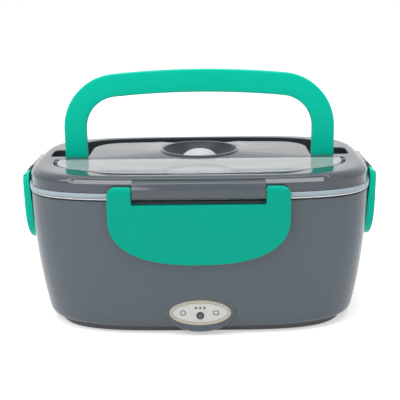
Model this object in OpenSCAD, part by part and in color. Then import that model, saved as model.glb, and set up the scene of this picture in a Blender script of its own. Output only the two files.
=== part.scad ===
// Electric lunch box with a lift-off lid, four side latches and a folding bail handle.
// Millimetres. +Z is up, the front faces -Y, and the table is at z = 0 under the centre.

/* [Body] */
// Width of the housing just under its rim
body_w = 229; // [210:1:250]
// Depth of the housing just under its rim
body_d = 149.6; // [140:0.2:165]
// Height of the housing wall above the table
body_h = 92.6; // [88:0.2:110]
// How far each side leans in from the rim to the table
side_draft = 9.4; // [4:0.2:14]
// How far the front and the back lean in from the rim to the table
front_draft = 6.4; // [3:0.2:10]
// Wall thickness of the housing
wall = 2.4; // [1.8:0.1:3.2]
// Squareness of the outline at the rim: 2 is an ellipse, higher is squarer
rim_square = 4.1; // [3.6:0.1:4.8]
// Squareness of the outline at the table
base_square = 2.9; // [2.6:0.1:3.8]
// Height of the rounded lower edge
edge_h = 4.2; // [3:0.2:8]
// How far the lower edge is drawn in
edge_in = 2; // [1:0.2:2.4]

/* [Rim] */
// How far the lid flange stands out past the housing wall
rim_out = 0.8; // [0.6:0.1:1.4]
// Thickness of the liner flange that rests on the housing
liner_flange_t = 1; // [0.8:0.1:2]
// Thickness of the tray flange that rests on the liner
tray_flange_t = 1; // [0.6:0.1:1.4]
// Height of the sealing ring
seal_h = 3.1; // [2.8:0.1:4]
// Width of the sealing ring's outer band
seal_w = 6.1; // [5:0.1:7]
// Width of the sealing ring's inner lip
seal_lip_w = 4.9; // [3:0.1:5]
// Thickness of the sealing ring's inner lip
seal_lip_t = 1.7; // [1:0.1:2]

/* [Liner and tray] */
// Width of the tray between its walls' outer faces at the top
tray_w = 205.2; // [190:0.5:210]
// Depth of the tray between its walls' outer faces at the top
tray_d = 126.2; // [115:0.5:130]
// How far each tray wall leans in at its floor
tray_draft = 7.5; // [4:0.5:12]
// Sheet thickness of the tray
tray_t = 1; // [0.6:0.1:1.6]
// Running gap between the tray and the liner walls
tray_gap = 1.2; // [0.8:0.1:2]
// Gap under the tray floor
tray_floor_gap = 0.3; // [0.2:0.1:0.6]
// Height of the liner floor above the table
liner_floor = 33; // [31:0.5:40]
// Wall thickness of the liner
liner_wall = 1.6; // [1.2:0.1:2.2]
// Thickness of the liner floor
liner_floor_t = 2; // [1.6:0.1:3]
// Sideways place of the tray divider
divider_x = 28; // [10:1:45]
// Height of the tray divider
divider_h = 42; // [20:1:50]
// Thickness of the tray divider
divider_t = 1.6; // [1:0.1:3]

/* [Lid] */
// Height of the lid's top above the sealing ring
lid_h = 10.3; // [10:0.1:11]
// How far the lid wall stands inside the flange edge
lid_in = 1; // [0.9:0.1:1.4]
// Wall thickness of the lid
lid_t = 2.2; // [1.8:0.1:2.6]
// How far the lid's rounded shoulder is drawn in at the top
shoulder_in = 6.2; // [4:0.1:8]
// Depth of the flat that is cut in the front and back shoulder
shoulder_flat = 1.9; // [1:0.1:2.4]
// Height of that flat's foot above the sealing ring
flat_foot = 5.7; // [5:0.1:6.4]

/* [Handle] */
// Width of the handle over its legs
handle_w = 188.8; // [178:0.2:190]
// Width of the handle strap, seen from the front
strap_w = 15.6; // [12:0.1:17]
// Thickness of the handle strap, front to back
strap_t = 6; // [5:0.1:6.4]
// Height of the handle's top above its pivots
handle_rise = 64.8; // [62:0.1:66]
// Radius of the crowned top bar
crown_r = 620; // [400:10:900]
// Outer radius of the handle's corners
corner_r = 38; // [26:1:42]
// Depth of the pivots under the lid's top
pivot_drop = 4.9; // [4.6:0.1:5.1]
// Place of the pivots, front to back
pivot_y = -0.5; // [-1:0.1:0.5]
// Radius of the rounded leg ends
leg_end_r = 3.4; // [3:0.1:3.5]
// Radius of the pivot pegs
peg_r = 2; // [1.5:0.1:2.4]
// Length of the pivot pegs
peg_l = 4.5; // [3:0.1:6]
// Running clearance of a peg in its hole
peg_clear = 0.08; // [0.04:0.01:0.1]
// Clearance between the folded handle and its groove
groove_gap = 0.8; // [0.5:0.1:1]
// Wall thickness of the groove
groove_wall = 1.5; // [1.2:0.1:1.8]
// Width of the finger well outside each leg
finger_w = 10; // [8:0.5:11]
// Length of the finger well behind the pivots
finger_l = 20; // [14:1:26]

/* [Vent] */
// Outer radius of the vent ring
ring_r = 28.2; // [24:0.1:29]
// How far the vent ring stands above the lid
ring_rise = 1.5; // [0.8:0.1:2.5]
// Thickness of the vent ring at its top
ring_t = 1.7; // [1.2:0.1:2.5]
// Place of the vent, front to back
vent_y = 14.5; // [14:0.1:16]
// Radius of the bowl's floor
bowl_floor_r = 14.6; // [14:0.1:17]
// Depth of the bowl under the lid's top
bowl_d = 6.5; // [5:0.1:7]
// Wall thickness of the bowl
bowl_t = 1.5; // [1.2:0.1:2]
// Radius of the steam hole
steam_r = 4; // [3:0.1:5]
// Radius of the plug's dome
dome_r = 12.6; // [10:0.1:13]
// Height of the plug's dome
dome_h = 7; // [4:0.1:7.5]
// Radial clearance of the plug's stem
stem_clear = 0.2; // [0.1:0.05:0.4]

/* [Cutlery compartment] */
// Width of the clear cover
cover_w = 194; // [180:1:195]
// Place of the clear cover's rear edge
cover_back = -15; // [-15.5:0.1:-14.8]
// Depth of the clear cover, front to back
cover_d = 39.5; // [34:0.5:41]
// Thickness of the clear cover
cover_t = 2; // [1.6:0.1:2.4]
// Squareness of the clear cover's front
cover_square = 3.3; // [2.8:0.1:4]
// Gap around the clear cover
cover_gap = 0.5; // [0.4:0.1:0.6]
// Extra gap at each end of the clear cover
cover_end_gap = 2.4; // [1.5:0.1:2.6]
// Width of the ledge that the clear cover rests on
cover_ledge = 3; // [2:0.1:4]
// Depth of the compartment under the clear cover
compartment_d = 11; // [8:0.1:11.2]
// Wall thickness of the compartment
compartment_t = 1.2; // [1:0.1:1.4]
// Radius of the cover's hinge pegs
cover_peg_r = 0.8; // [0.6:0.1:0.9]
// Running clearance of those pegs in their holes
cover_peg_clear = 0.06; // [0.03:0.01:0.1]
// Reach of those pegs past the cover's ends
cover_peg_l = 4.6; // [4:0.1:5.5]
// Distance of the hinge line from the cover's rear edge
cover_axis_in = 2.4; // [2:0.1:3]
// Half width of the thumb scoop
scoop_w = 23; // [15:1:28]
// Depth of the thumb scoop from the cover's front edge
scoop_d = 20; // [12:1:24]
// Half length of the finger cut in front of the cover
front_cut_w = 73; // [50:1:76]
// Depth of that finger cut
front_cut_h = 2.2; // [1:0.1:3]
// Length of the spoon
spoon_l = 158; // [130:1:165]
// Width of the spoon's bowl
spoon_w = 30; // [20:1:31]
// Length of the spoon's grip
grip_l = 70; // [50:1:80]
// Width of the spoon's grip
grip_w = 13; // [10:0.5:16]
// Thickness of the spoon's grip
grip_t = 5; // [4:0.1:5.5]

/* [Latches] */
// Width of the front and back latch
long_latch_w = 115.6; // [100:0.2:120]
// Width of the left and right latch
short_latch_w = 66; // [56:0.2:70]
// Width of the front and back hinge bar
long_bar_w = 84; // [70:0.2:88]
// Width of the left and right hinge bar
short_bar_w = 39; // [30:0.2:42]
// Height of a latch below its hinge pin
latch_drop = 49; // [40:0.5:52]
// Height of the latch's rounded lower corners
latch_corner = 31.5; // [20:0.5:34]
// How far a latch's outer face stands out from its pins
ear_out = 2; // [1.8:0.05:2.2]
// Rounding of the outer corners of the ears
ear_corner = 5.5; // [3:0.5:7]
// Height of the hinge pins above the sealing ring
pin_up = 2.5; // [2.4:0.05:2.7]
// How far the hinge pins stand out from the flange edge
pin_out = 2.1; // [2.05:0.05:2.3]
// Radius of the hinge pins
pin_r = 0.9; // [0.7:0.05:0.95]
// Running clearance of a latch on its pin
pin_clear = 0.06; // [0.03:0.01:0.1]
// Gap between an ear and its hinge bar
ear_gap = 0.5; // [0.3:0.1:0.8]
// Outer skin thickness of a latch
latch_skin = 2; // [1.6:0.1:2.2]
// How far a latch's outer face leans in at its lower edge
latch_lean = 1.2; // [0.4:0.1:1.8]
// Height of a latch's solid foot
latch_foot_h = 7; // [4:0.5:10]
// Gap between a closed latch and the housing
latch_gap = 0.5; // [0.4:0.1:0.8]
// Height of the catch bead's underside above the table
catch_z = 80.5; // [76:0.5:83]
// How far the catch bead stands out of the housing
catch_out = 1.4; // [1:0.1:1.6]
// Clearance between the catch bead and the latch's rib
catch_gap = 0.3; // [0.3:0.05:0.5]

/* [Lamp panel] */
// Width of the oval frame
panel_w = 40.6; // [34:0.2:46]
// Height of the oval frame
panel_h = 17.4; // [15:0.2:20]
// Height of the panel's centre above the table
panel_z = 16.6; // [16:0.2:20]
// Width of the oval frame's rim
panel_rim = 2; // [1.5:0.1:3]
// How far the oval frame stands out of its boss
panel_out = 1.2; // [0.8:0.1:2]
// Thickness of the panel's plate
plate_t = 1.2; // [1:0.1:1.6]
// Radius of the lamp lens
lens_r = 2.5; // [2:0.1:3.5]
// Margin of the boss beside the oval frame
boss_margin = 2.8; // [2:0.1:5]
// Margin of the boss above and below the oval frame
boss_rise = 5.3; // [3:0.1:6]
// Radius of the lamp
led_r = 1.5; // [1:0.1:1.8]
// Width of the lamp's window in the housing
window_w = 17; // [12:0.5:18]
// Spacing of the lamp board's posts
board_pitch = 24; // [24:1:32]

/* [Power inlet] */
// Width of the inlet's housing
inlet_w = 24; // [20:0.5:28]
// Height of the inlet's housing
inlet_h = 14; // [12:0.5:16]
// Depth of the inlet's housing
inlet_d = 16; // [14:0.5:20]
// Height of the inlet's centre above the table
inlet_z = 19; // [17:0.5:21]
// Width of the inlet's opening
inlet_mouth_w = 16; // [14:0.2:18]
// Height of the inlet's opening
inlet_mouth_h = 9; // [8:0.2:10]
// Depth of the inlet's opening
inlet_mouth_d = 12; // [10:0.5:13]
// Spacing of the two inlet pins
inlet_pitch = 8.6; // [7:0.1:10]
// Radius of the inlet pins
inlet_pin_r = 1.15; // [0.8:0.05:1.3]
// Gap round the inlet in the housing
inlet_gap = 0.3; // [0.2:0.05:0.6]

/* [Heater] */
// Width of the raised heating plate
plate_w = 108; // [90:1:120]
// Depth of the raised heating plate
plate_d = 64; // [50:1:74]
// Corner radius of the heating plate
plate_r = 14; // [8:1:18]
// Width of the heating plate's fixing flange
plate_flange = 8; // [7:0.5:10]
// Thickness of the heating plate's fixing flange
plate_flange_t = 1.5; // [1.2:0.1:2]
// Length of the heating element
element_l = 52; // [40:1:60]
// Width of the heating element
element_w = 24; // [18:1:28]
// Thickness of the heating element
element_t = 5; // [4:0.5:6]
// Width of the clamp strap
clamp_w = 12; // [9:0.5:16]
// Sheet thickness of the clamp strap
clamp_t = 1; // [0.8:0.1:1.4]
// Radius of the thermostat
thermostat_r = 8; // [6:0.5:9]
// Height of the thermostat
thermostat_h = 6; // [4:0.5:8]
// Radius of the thermal fuse
fuse_r = 2; // [1.5:0.1:2.5]
// Length of the thermal fuse
fuse_l = 14; // [10:0.5:18]
// Radius of an insulated wire
wire_r = 1; // [0.8:0.05:1.2]

/* [Base] */
// Height of the base cover's underside above the table
foot_lift = 0.8; // [0.6:0.1:3]
// Height of the plinth that the base cover forms under the housing
plinth_h = 4.6; // [3:0.1:5.4]
// How far the plinth stands in from the housing at each side
plinth_side_in = 7.9; // [6:0.1:10]
// How far the plinth stands in from the housing at the front and the back
plinth_front_in = 5.1; // [4.8:0.1:7]
// Squareness of the plinth's outline
plinth_square = 3.2; // [2.8:0.1:3.3]
// Thickness of the plinth's wall
plinth_t = 2; // [1.5:0.1:2.4]
// Thickness of the base cover
cover_plate_t = 2.2; // [1.8:0.1:3]
// Gap round the base cover
cover_plate_gap = 0.4; // [0.2:0.1:0.8]
// Radius of a rubber foot
foot_r = 6; // [4:0.5:8]
// Depth of the seat that each rubber foot sits in
foot_seat = 1.4; // [1:0.1:1.5]
// Sideways place of the feet
foot_x = 78; // [65:1:82]
// Front-to-back place of the feet
foot_y = 40; // [30:1:43]
// Sideways place of the screw posts
post_x = 58; // [48:1:64]
// Front-to-back place of the screw posts
post_y = 51; // [48:0.5:52]
// Radius of the screw posts
post_r = 4; // [3.5:0.1:5]
// Height of the screw posts above the base cover
post_h = 22; // [14:0.5:26]
// Radius of a screw's shank
screw_r = 1.5; // [1.2:0.1:1.8]
// Radius of a screw's head
screw_head_r = 2.9; // [2.5:0.1:3.2]
// Height of a screw's head
screw_head_h = 1.4; // [1.2:0.1:1.5]
// Length of a screw below its head
screw_l = 12; // [8:0.5:16]
// Number of ventilation slots in each row
vent_slots = 7; // [3:1:9]
// Width of a ventilation slot
slot_w = 2.4; // [1.5:0.1:3]
// Length of a ventilation slot
slot_l = 16; // [10:1:20]

/* [Hidden] */

round_fn = 64;
outline_n = 64;
eps = 0.01;

body_grey = [0.37, 0.40, 0.43];
green = [0.0, 0.68, 0.56];
pale = [0.84, 0.84, 0.83];
cream = [0.78, 0.76, 0.68];
steel = [0.75, 0.76, 0.78];
dark = [0.10, 0.10, 0.11];
clear = [0.85, 0.90, 0.92, 0.45];

// Levels of the stack at the rim
liner_top = body_h + liner_flange_t;
tray_top = liner_top + tray_flange_t;
seal_top = tray_top + seal_h;
lid_top = seal_top + lid_h;
flange_hw = body_w / 2 + rim_out;
flange_hd = body_d / 2 + rim_out;

// Half sizes of the housing at height z
function drop(z) = pow(1 - z / body_h, 2);
function body_hw(z) = body_w / 2 - side_draft * drop(z);
function body_hd(z) = body_d / 2 - front_draft * drop(z);
function body_sq(z) = rim_square - (rim_square - base_square) * drop(z);
function mix(a, b, t) = a + (b - a) * t;
function power(v, e) = v <= 0 ? 0 : pow(v, e);

// Rounded outline with half sizes a and b and squareness s
function outline(a, b, s) = [for (i = [0 : outline_n - 1])
    let (t = 360 * (i + 0.5) / outline_n)
    [a * sign(cos(t)) * power(abs(cos(t)), 2 / s), b * sign(sin(t)) * power(abs(sin(t)), 2 / s)]];

// Front half of such an outline, closed by a straight rear edge at y = 0
function half_outline(a, b, s, n = 32) = [for (i = [0 : n])
    let (t = 180 * i / n)
    [-a * sign(cos(t)) * power(abs(cos(t)), 2 / s), -b * power(sin(t), 2 / s)]];

// Solid through sections [half width, half depth, squareness, height], lowest first
module loft(sections) {
    rows = len(sections);
    points = [for (s = sections) for (p = outline(s[0], s[1], s[2])) [p[0], p[1], s[3]]];
    floor_face = [for (i = [0 : outline_n - 1]) i];
    top_face = [for (i = [outline_n - 1 : -1 : 0]) (rows - 1) * outline_n + i];
    sides = [for (k = [0 : rows - 2]) for (i = [0 : outline_n - 1])
        let (p = k * outline_n + i, q = k * outline_n + (i + 1) % outline_n)
        each [[p, p + outline_n, q + outline_n], [p, q + outline_n, q]]];
    polyhedron(points = points, faces = concat([floor_face], sides, [top_face]));
}

// Flat plate with the rounded outline, from z0 to z1
module slab(a, b, s, z0, z1) {
    translate([0, 0, z0]) linear_extrude(z1 - z0) polygon(outline(a, b, s));
}

// Flat ring between two half sizes, w wide
module ring_slab(a, b, s, w, z0, z1) {
    difference() {
        slab(a, b, s, z0, z1);
        slab(a - w, b - w, s, z0 - 1, z1 + 1);
    }
}

// Flat rounded rectangle centred on the origin
module round_rect(w, d, r) {
    square([w - 2 * r, d], center = true);
    square([w, d - 2 * r], center = true);
    for (x = [-1, 1], y = [-1, 1])
        translate([x * (w / 2 - r), y * (d / 2 - r)]) circle(r, $fn = round_fn);
}

// Puts its children at four mirrored places
module corners(x, y) {
    for (i = [-1, 1], j = [-1, 1]) translate([i * x, j * y, 0]) children();
}

// Body-coloured housing sections, drawn in by t
body_levels = [0, 0.16, 0.36, 0.6, 1];
housing_z = foot_lift + plinth_h;
edge_top = housing_z + edge_h;
function wall_sections(t, high) = [for (k = body_levels) let (z = mix(edge_top, high, k))
    [body_hw(min(z, body_h)) - t, body_hd(min(z, body_h)) - t, body_sq(min(z, body_h)), z]];
function edge_section(t, draw, rise) = let (g = draw * edge_in + t)
    [body_hw(housing_z) - g, body_hd(housing_z) - g, body_sq(housing_z), housing_z + rise * edge_h];
function body_sections(t, high) = concat(
    [edge_section(t, 1, 0), edge_section(t, 0.28, 0.32)], wall_sections(t, high));

// ---------------------------------------------------------------- housing
boss_y = body_hd(panel_z + panel_h / 2) + 0.3;
inlet_face = body_hd(inlet_z + inlet_h / 2) + 0.8;
board_t = 1.6;
board_y = boss_y - 10.4;
board_post_r = 2.4;
board_screw_r = 0.9;
board_screw_l = 5;

module catch_bead(reach, length, draft) {
    foot = reach - draft * drop(catch_z);
    translate([-length / 2, 0, 0]) rotate([90, 0, 90]) linear_extrude(length)
        polygon([[foot - wall / 2, catch_z], [foot + catch_out, catch_z], [foot + catch_out, catch_z + 0.8],
                 [foot - wall / 2, catch_z + 3.4]]);
}

post_foot = foot_lift + cover_plate_t;
plinth_hw = body_hw(housing_z) - plinth_side_in;
plinth_hd = body_hd(housing_z) - plinth_front_in;
plinth_lip = 1.4;
post_rib_z = housing_z + plinth_lip + 0.4;

// Outline of the plinth grown by g, at height z
function plinth_section(g, z) = [plinth_hw + g, plinth_hd + g, plinth_square, z];

module body_insides() {
    // Posts for the base screws, each tied to the wall by a rib
    for (j = [-1, 1], i = [-1, 1]) {
        translate([i * post_x, j * post_y, post_foot]) cylinder(r = post_r, h = post_h, $fn = round_fn);
        translate([i * post_x - 1, j > 0 ? post_y : -body_d / 2, post_rib_z])
            cube([2, body_d / 2 - post_y, post_foot + post_h - post_rib_z]);
    }
    // Posts that hold the lamp board behind the panel
    board_places() cylinder(r = board_post_r, h = body_d / 2 - board_y, $fn = round_fn);
}

// The two screw places of the lamp board, with +Z towards the front
module board_places() {
    for (i = [-1, 1]) translate([i * board_pitch / 2, -board_y, panel_z]) rotate([90, 0, 0]) children();
}

module body_shell() {
    color(body_grey) difference() {
        union() {
            difference() {
                loft(body_sections(0, body_h));
                loft(concat(
                    [plinth_section(cover_plate_gap, 0), plinth_section(cover_plate_gap, housing_z + plinth_lip)],
                    wall_sections(wall, body_h + 1)));
            }
            intersection() {
                loft(concat([plinth_section(-plinth_t - cover_plate_gap, 0)],
                    body_sections(wall / 2, body_h - 1)));
                body_insides();
            }
            // Oval boss for the lamp panel
            intersection() {
                translate([0, -boss_y, panel_z]) rotate([-90, 0, 0]) linear_extrude(wall + 3)
                    polygon(outline(panel_w / 2 + boss_margin, panel_h / 2 + boss_rise, 2));
                translate([-body_w / 2, -body_d, foot_lift]) cube([body_w, body_d, body_h]);
            }
            // Flat pad for the power inlet
            translate([-inlet_w / 2 - 3, inlet_face - wall - 3, inlet_z - inlet_h / 2 - 2])
                cube([inlet_w + 6, wall + 3, inlet_h + 4]);
            // Catch beads under the latches
            for (a = [0, 180]) rotate(a) catch_bead(body_d / 2, long_latch_w - 16, front_draft);
            for (a = [90, 270]) rotate(a) catch_bead(body_w / 2, short_latch_w - 16, side_draft);
        }
        corners(post_x, post_y) translate([0, 0, post_foot - 1])
            cylinder(r = screw_r, h = screw_l - cover_plate_t + screw_head_h + 2, $fn = round_fn);
        // Window for the lamp and its plate
        translate([0, -boss_y - 1, panel_z]) rotate([-90, 0, 0]) linear_extrude(wall + 6)
            polygon(outline(window_w / 2, window_hh, 2));
        // Window for the power inlet
        translate([-inlet_w / 2 - inlet_gap, inlet_face - wall - 8, inlet_z - inlet_h / 2 - inlet_gap])
            cube([inlet_w + 2 * inlet_gap, wall + 10, inlet_h + 2 * inlet_gap]);
        // Pilot holes in the lamp board's posts
        board_places() translate([0, 0, -1]) cylinder(r = board_screw_r, h = board_screw_l, $fn = round_fn);
    }
}

// ---------------------------------------------------------------- base
module base_cover() {
    color(dark) difference() {
        union() {
            difference() {
                slab(plinth_hw, plinth_hd, plinth_square, foot_lift, housing_z + plinth_lip);
                slab(plinth_hw - plinth_t, plinth_hd - plinth_t, plinth_square, post_foot, housing_z + body_h);
            }
            corners(foot_x, foot_y) translate([0, 0, foot_lift])
                cylinder(r = foot_r + 1.6, h = cover_plate_t + 1.2, $fn = round_fn);
        }
        corners(foot_x, foot_y) translate([0, 0, foot_lift - 1])
            cylinder(r = foot_r, h = foot_seat + 1, $fn = round_fn);
        corners(post_x, post_y) {
            translate([0, 0, foot_lift - 1]) cylinder(r = screw_r + 0.2, h = cover_plate_t + 2, $fn = round_fn);
            translate([0, 0, foot_lift - 1]) cylinder(r = screw_head_r + 0.2, h = screw_head_h + 1, $fn = round_fn);
        }
        for (j = [-1, 1], k = [0 : vent_slots - 1])
            translate([(k - (vent_slots - 1) / 2) * 3 * slot_w, j * 22, foot_lift - 1])
                linear_extrude(cover_plate_t + 2) round_rect(slot_w, slot_l, slot_w / 2 - eps);
    }
}

module rubber_feet() {
    color([0.06, 0.06, 0.06]) corners(foot_x, foot_y)
        cylinder(r = foot_r, h = foot_lift + foot_seat, $fn = round_fn);
}

// A screw standing head down: its head's underside at z = 0, its shank upwards
module screw(shank, length, head, head_h) {
    difference() {
        translate([0, 0, -head_h]) cylinder(r = head, h = head_h, $fn = round_fn);
        for (a = [0, 90]) rotate(a) translate([-head * 0.6, -0.3, -head_h - 1]) cube([head * 1.2, 0.6, 1.6]);
    }
    cylinder(r = shank, h = length, $fn = round_fn);
}

module base_screws() {
    color(steel) corners(post_x, post_y) translate([0, 0, foot_lift + screw_head_h])
        screw(screw_r, screw_l, screw_head_r, screw_head_h);
}

// ---------------------------------------------------------------- liner and heater
liner_inner_w = tray_w / 2 + tray_gap;
liner_inner_d = tray_d / 2 + tray_gap;
liner_base = liner_floor + liner_floor_t;
window_gap = 0.3;
fix_x = plate_w / 2 + plate_flange / 2;
fix_y = plate_d / 4;
fix_screw_r = 1.2;
fix_head_r = 2.2;
fix_head_h = 1.3;

module heating_liner() {
    color([0.90, 0.90, 0.88]) difference() {
        union() {
            loft([[liner_inner_w + liner_wall - tray_draft, liner_inner_d + liner_wall - tray_draft,
                    rim_square, liner_floor],
                  [liner_inner_w + liner_wall, liner_inner_d + liner_wall, rim_square, liner_top - eps]]);
            slab(body_w / 2 - 0.4, body_d / 2 - 0.4, rim_square, body_h, liner_top);
        }
        loft([[liner_inner_w - tray_draft, liner_inner_d - tray_draft, rim_square, liner_base],
              [liner_inner_w, liner_inner_d, rim_square, liner_top + eps]]);
        translate([0, 0, liner_floor - 1]) linear_extrude(liner_floor_t + 2)
            round_rect(plate_w + 2 * window_gap, plate_d + 2 * window_gap, plate_r + window_gap);
        corners(fix_x, fix_y) translate([0, 0, liner_floor - 1])
            cylinder(r = fix_screw_r, h = liner_floor_t + 0.5, $fn = round_fn);
    }
}

clamp_reach = element_l / 2 + 2;
clamp_foot = 10;
clamp_hole_x = clamp_reach + clamp_foot / 2;
plate_under = liner_floor - plate_flange_t;

module heating_plate() {
    color(steel) difference() {
        union() {
            translate([0, 0, plate_under]) linear_extrude(plate_flange_t)
                round_rect(plate_w + 2 * plate_flange, plate_d + 2 * plate_flange, plate_r + plate_flange / 2);
            translate([0, 0, liner_floor - eps]) linear_extrude(liner_floor_t + eps)
                round_rect(plate_w, plate_d, plate_r);
        }
        corners(fix_x, fix_y) translate([0, 0, plate_under - 1])
            cylinder(r = fix_screw_r + 0.2, h = plate_flange_t + 2, $fn = round_fn);
        for (i = [-1, 1]) translate([i * clamp_hole_x, 0, plate_under - 1])
            cylinder(r = fix_screw_r, h = plate_flange_t + 2, $fn = round_fn);
    }
}

module plate_screws() {
    color(steel) corners(fix_x, fix_y) translate([0, 0, plate_under])
        screw(fix_screw_r, plate_flange_t + liner_floor_t - 0.5, fix_head_r, fix_head_h);
}

element_under = plate_under - element_t;
tab_l = 6;
tab_x = element_l / 2 + tab_l;
tab_y = element_w / 2 - 2.5;
tab_z = element_under + 2.4;

module heating_element() {
    color([0.85, 0.83, 0.78]) translate([-element_l / 2, -element_w / 2, element_under])
        cube([element_l, element_w, element_t]);
    // Two terminal tabs
    color(steel) for (j = [-1, 1]) translate([-tab_x, j * tab_y - 2, tab_z - 0.4]) cube([tab_l + eps, 4, 0.8]);
}

module element_clamp() {
    color(steel) difference() {
        rotate([90, 0, 0]) translate([0, 0, -clamp_w / 2]) linear_extrude(clamp_w) {
            low = element_under - clamp_t;
            translate([-clamp_reach, low]) square([2 * clamp_reach, clamp_t]);
            for (i = [-1, 1]) {
                translate([i * clamp_reach - clamp_t / 2, low]) square([clamp_t, plate_under - low]);
                translate([i > 0 ? clamp_reach : -clamp_reach - clamp_foot, plate_under - clamp_t])
                    square([clamp_foot, clamp_t]);
            }
        }
        for (i = [-1, 1]) translate([i * clamp_hole_x, 0, plate_under - clamp_t - 1])
            cylinder(r = fix_screw_r + 0.2, h = clamp_t + 2, $fn = round_fn);
    }
}

module clamp_screws() {
    color(steel) for (i = [-1, 1]) translate([i * clamp_hole_x, 0, plate_under - clamp_t])
        screw(fix_screw_r, clamp_t + plate_flange_t, fix_head_r, fix_head_h);
}

thermostat_x = 36;
thermostat_y = 27;
lug_l = 5;

module thermostat() {
    color(dark) translate([thermostat_x, thermostat_y, plate_under - thermostat_h])
        cylinder(r = thermostat_r, h = thermostat_h, $fn = round_fn);
    color(steel) for (i = [-1, 1])
        translate([thermostat_x + i * (thermostat_r + lug_l / 2 - 0.5), thermostat_y, lug_z])
            cube([lug_l + 1, 4, 0.8], center = true);
}

fuse_x = -4;
fuse_y = 26;

module thermal_fuse() {
    color(steel) translate([fuse_x - fuse_l / 2, fuse_y, plate_under - fuse_r]) rotate([0, 90, 0])
        cylinder(r = fuse_r, h = fuse_l, $fn = round_fn);
}

// ---------------------------------------------------------------- power inlet and wiring
inlet_back = inlet_face + 1.2 - inlet_d;
tail_l = 5;

module power_inlet() {
    color(dark) difference() {
        union() {
            translate([-inlet_w / 2, inlet_back, inlet_z - inlet_h / 2]) cube([inlet_w, inlet_d, inlet_h]);
            translate([-inlet_w / 2 - 2, inlet_face, inlet_z - inlet_h / 2 - 1.6])
                cube([inlet_w + 4, 1.2, inlet_h + 3.2]);
        }
        translate([0, inlet_face + 2, inlet_z]) rotate([90, 0, 0]) linear_extrude(inlet_mouth_d + 0.8)
            round_rect(inlet_mouth_w, inlet_mouth_h, inlet_mouth_h / 2 - eps);
        for (i = [-1, 1]) translate([i * inlet_pitch / 2, inlet_back + inlet_d - 1, inlet_z]) rotate([90, 0, 0])
            cylinder(r = inlet_pin_r, h = inlet_d + 2, $fn = round_fn);
    }
}

module inlet_pins() {
    color(steel) for (i = [-1, 1]) translate([i * inlet_pitch / 2, inlet_face - 1, inlet_z]) rotate([90, 0, 0])
        cylinder(r = inlet_pin_r, h = inlet_d + tail_l - 2.2, $fn = round_fn);
}

// Smooth path through hand-set points, and a round tube swept along it
function spline(a, b, c, d, t) = 0.5 * ((2 * b) + (c - a) * t + (2 * a - 5 * b + 4 * c - d) * t * t
    + (3 * b - a - 3 * c + d) * t * t * t);
function path(p, steps) = concat([for (i = [0 : len(p) - 2]) for (k = [0 : steps - 1])
    spline(p[max(i - 1, 0)], p[i], p[i + 1], p[min(i + 2, len(p) - 1)], k / steps)], [p[len(p) - 1]]);
function unit(v) = v / norm(v);
function tangent(q, i) = unit(q[min(i + 1, len(q) - 1)] - q[max(i - 1, 0)]);

module tube(points, r, steps = 3, sides = 8) {
    q = path(points, steps);
    rows = len(q);
    rings = [for (i = [0 : rows - 1])
        let (t = tangent(q, i), u = unit(cross(t, abs(t[2]) > 0.8 ? [0, 1, 0] : [0, 0, 1])), v = cross(t, u))
        for (k = [0 : sides - 1]) q[i] + r * (cos(360 * k / sides) * u + sin(360 * k / sides) * v)];
    skin = [for (i = [0 : rows - 2]) for (k = [0 : sides - 1])
        let (a = i * sides + k, b = i * sides + (k + 1) % sides)
        each [[a, b, b + sides], [a, b + sides, a + sides]]];
    polyhedron(points = rings, faces = concat([[for (k = [sides - 1 : -1 : 0]) k]], skin,
        [[for (k = [0 : sides - 1]) (rows - 1) * sides + k]]));
}

pin_tail_y = inlet_face - 1 - (inlet_d + tail_l - 2.2);
fuse_level = plate_under - fuse_r;
lug_x = thermostat_x + thermostat_r + lug_l;
lug_left = thermostat_x - thermostat_r - lug_l;
lug_z = plate_under - thermostat_h + 2.4;
fuse_right = fuse_x + fuse_l / 2;
fuse_left = fuse_x - fuse_l / 2;

// Heights at which the wires run under the heater, and the straight ends of a wire of radius r
wire_mid_z = inlet_z - 5;
wire_low_z = inlet_z - 7;
function straight(r) = 2.2 * r;
function lead_in(r) = 5 * r;
end_gap = 0.02;

module live_wire() {
    // From the right inlet pin to the thermostat
    color([0.5, 0.28, 0.12]) tube([
        [inlet_pitch / 2, pin_tail_y - end_gap, inlet_z],
        [inlet_pitch / 2, pin_tail_y - straight(wire_r), inlet_z],
        [inlet_pitch / 2, pin_tail_y - lead_in(wire_r), inlet_z],
        [thermostat_x / 3, thermostat_y + 12, wire_mid_z],
        [thermostat_x - 6, thermostat_y + 11, wire_low_z],
        [thermostat_x + 12, thermostat_y + 8, wire_mid_z + 1],
        [lug_x + 8, thermostat_y + 2, lug_z - 3],
        [lug_x + lead_in(wire_r), thermostat_y, lug_z],
        [lug_x + straight(wire_r), thermostat_y, lug_z],
        [lug_x + end_gap, thermostat_y, lug_z]], wire_r);
}

module fuse_wire() {
    // From the thermostat through the fuse to the heating element
    color([0.8, 0.8, 0.8]) {
        tube([
            [lug_left - end_gap, thermostat_y, lug_z],
            [lug_left - straight(wire_r), thermostat_y, lug_z],
            [lug_left - lead_in(wire_r), thermostat_y, lug_z],
            [fuse_right + lead_in(wire_r), fuse_y, fuse_level],
            [fuse_right + straight(wire_r), fuse_y, fuse_level],
            [fuse_right + end_gap, fuse_y, fuse_level]], wire_r);
        tube([
            [fuse_left - end_gap, fuse_y, fuse_level],
            [fuse_left - straight(wire_r), fuse_y, fuse_level],
            [fuse_left - lead_in(wire_r), fuse_y, fuse_level],
            [-element_l / 2 - 4, fuse_y - 3, fuse_level - 2],
            [-tab_x - 8, tab_y + 5, tab_z],
            [-tab_x - lead_in(wire_r), tab_y, tab_z],
            [-tab_x - straight(wire_r), tab_y, tab_z],
            [-tab_x - end_gap, tab_y, tab_z]], wire_r);
    }
}

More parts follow.
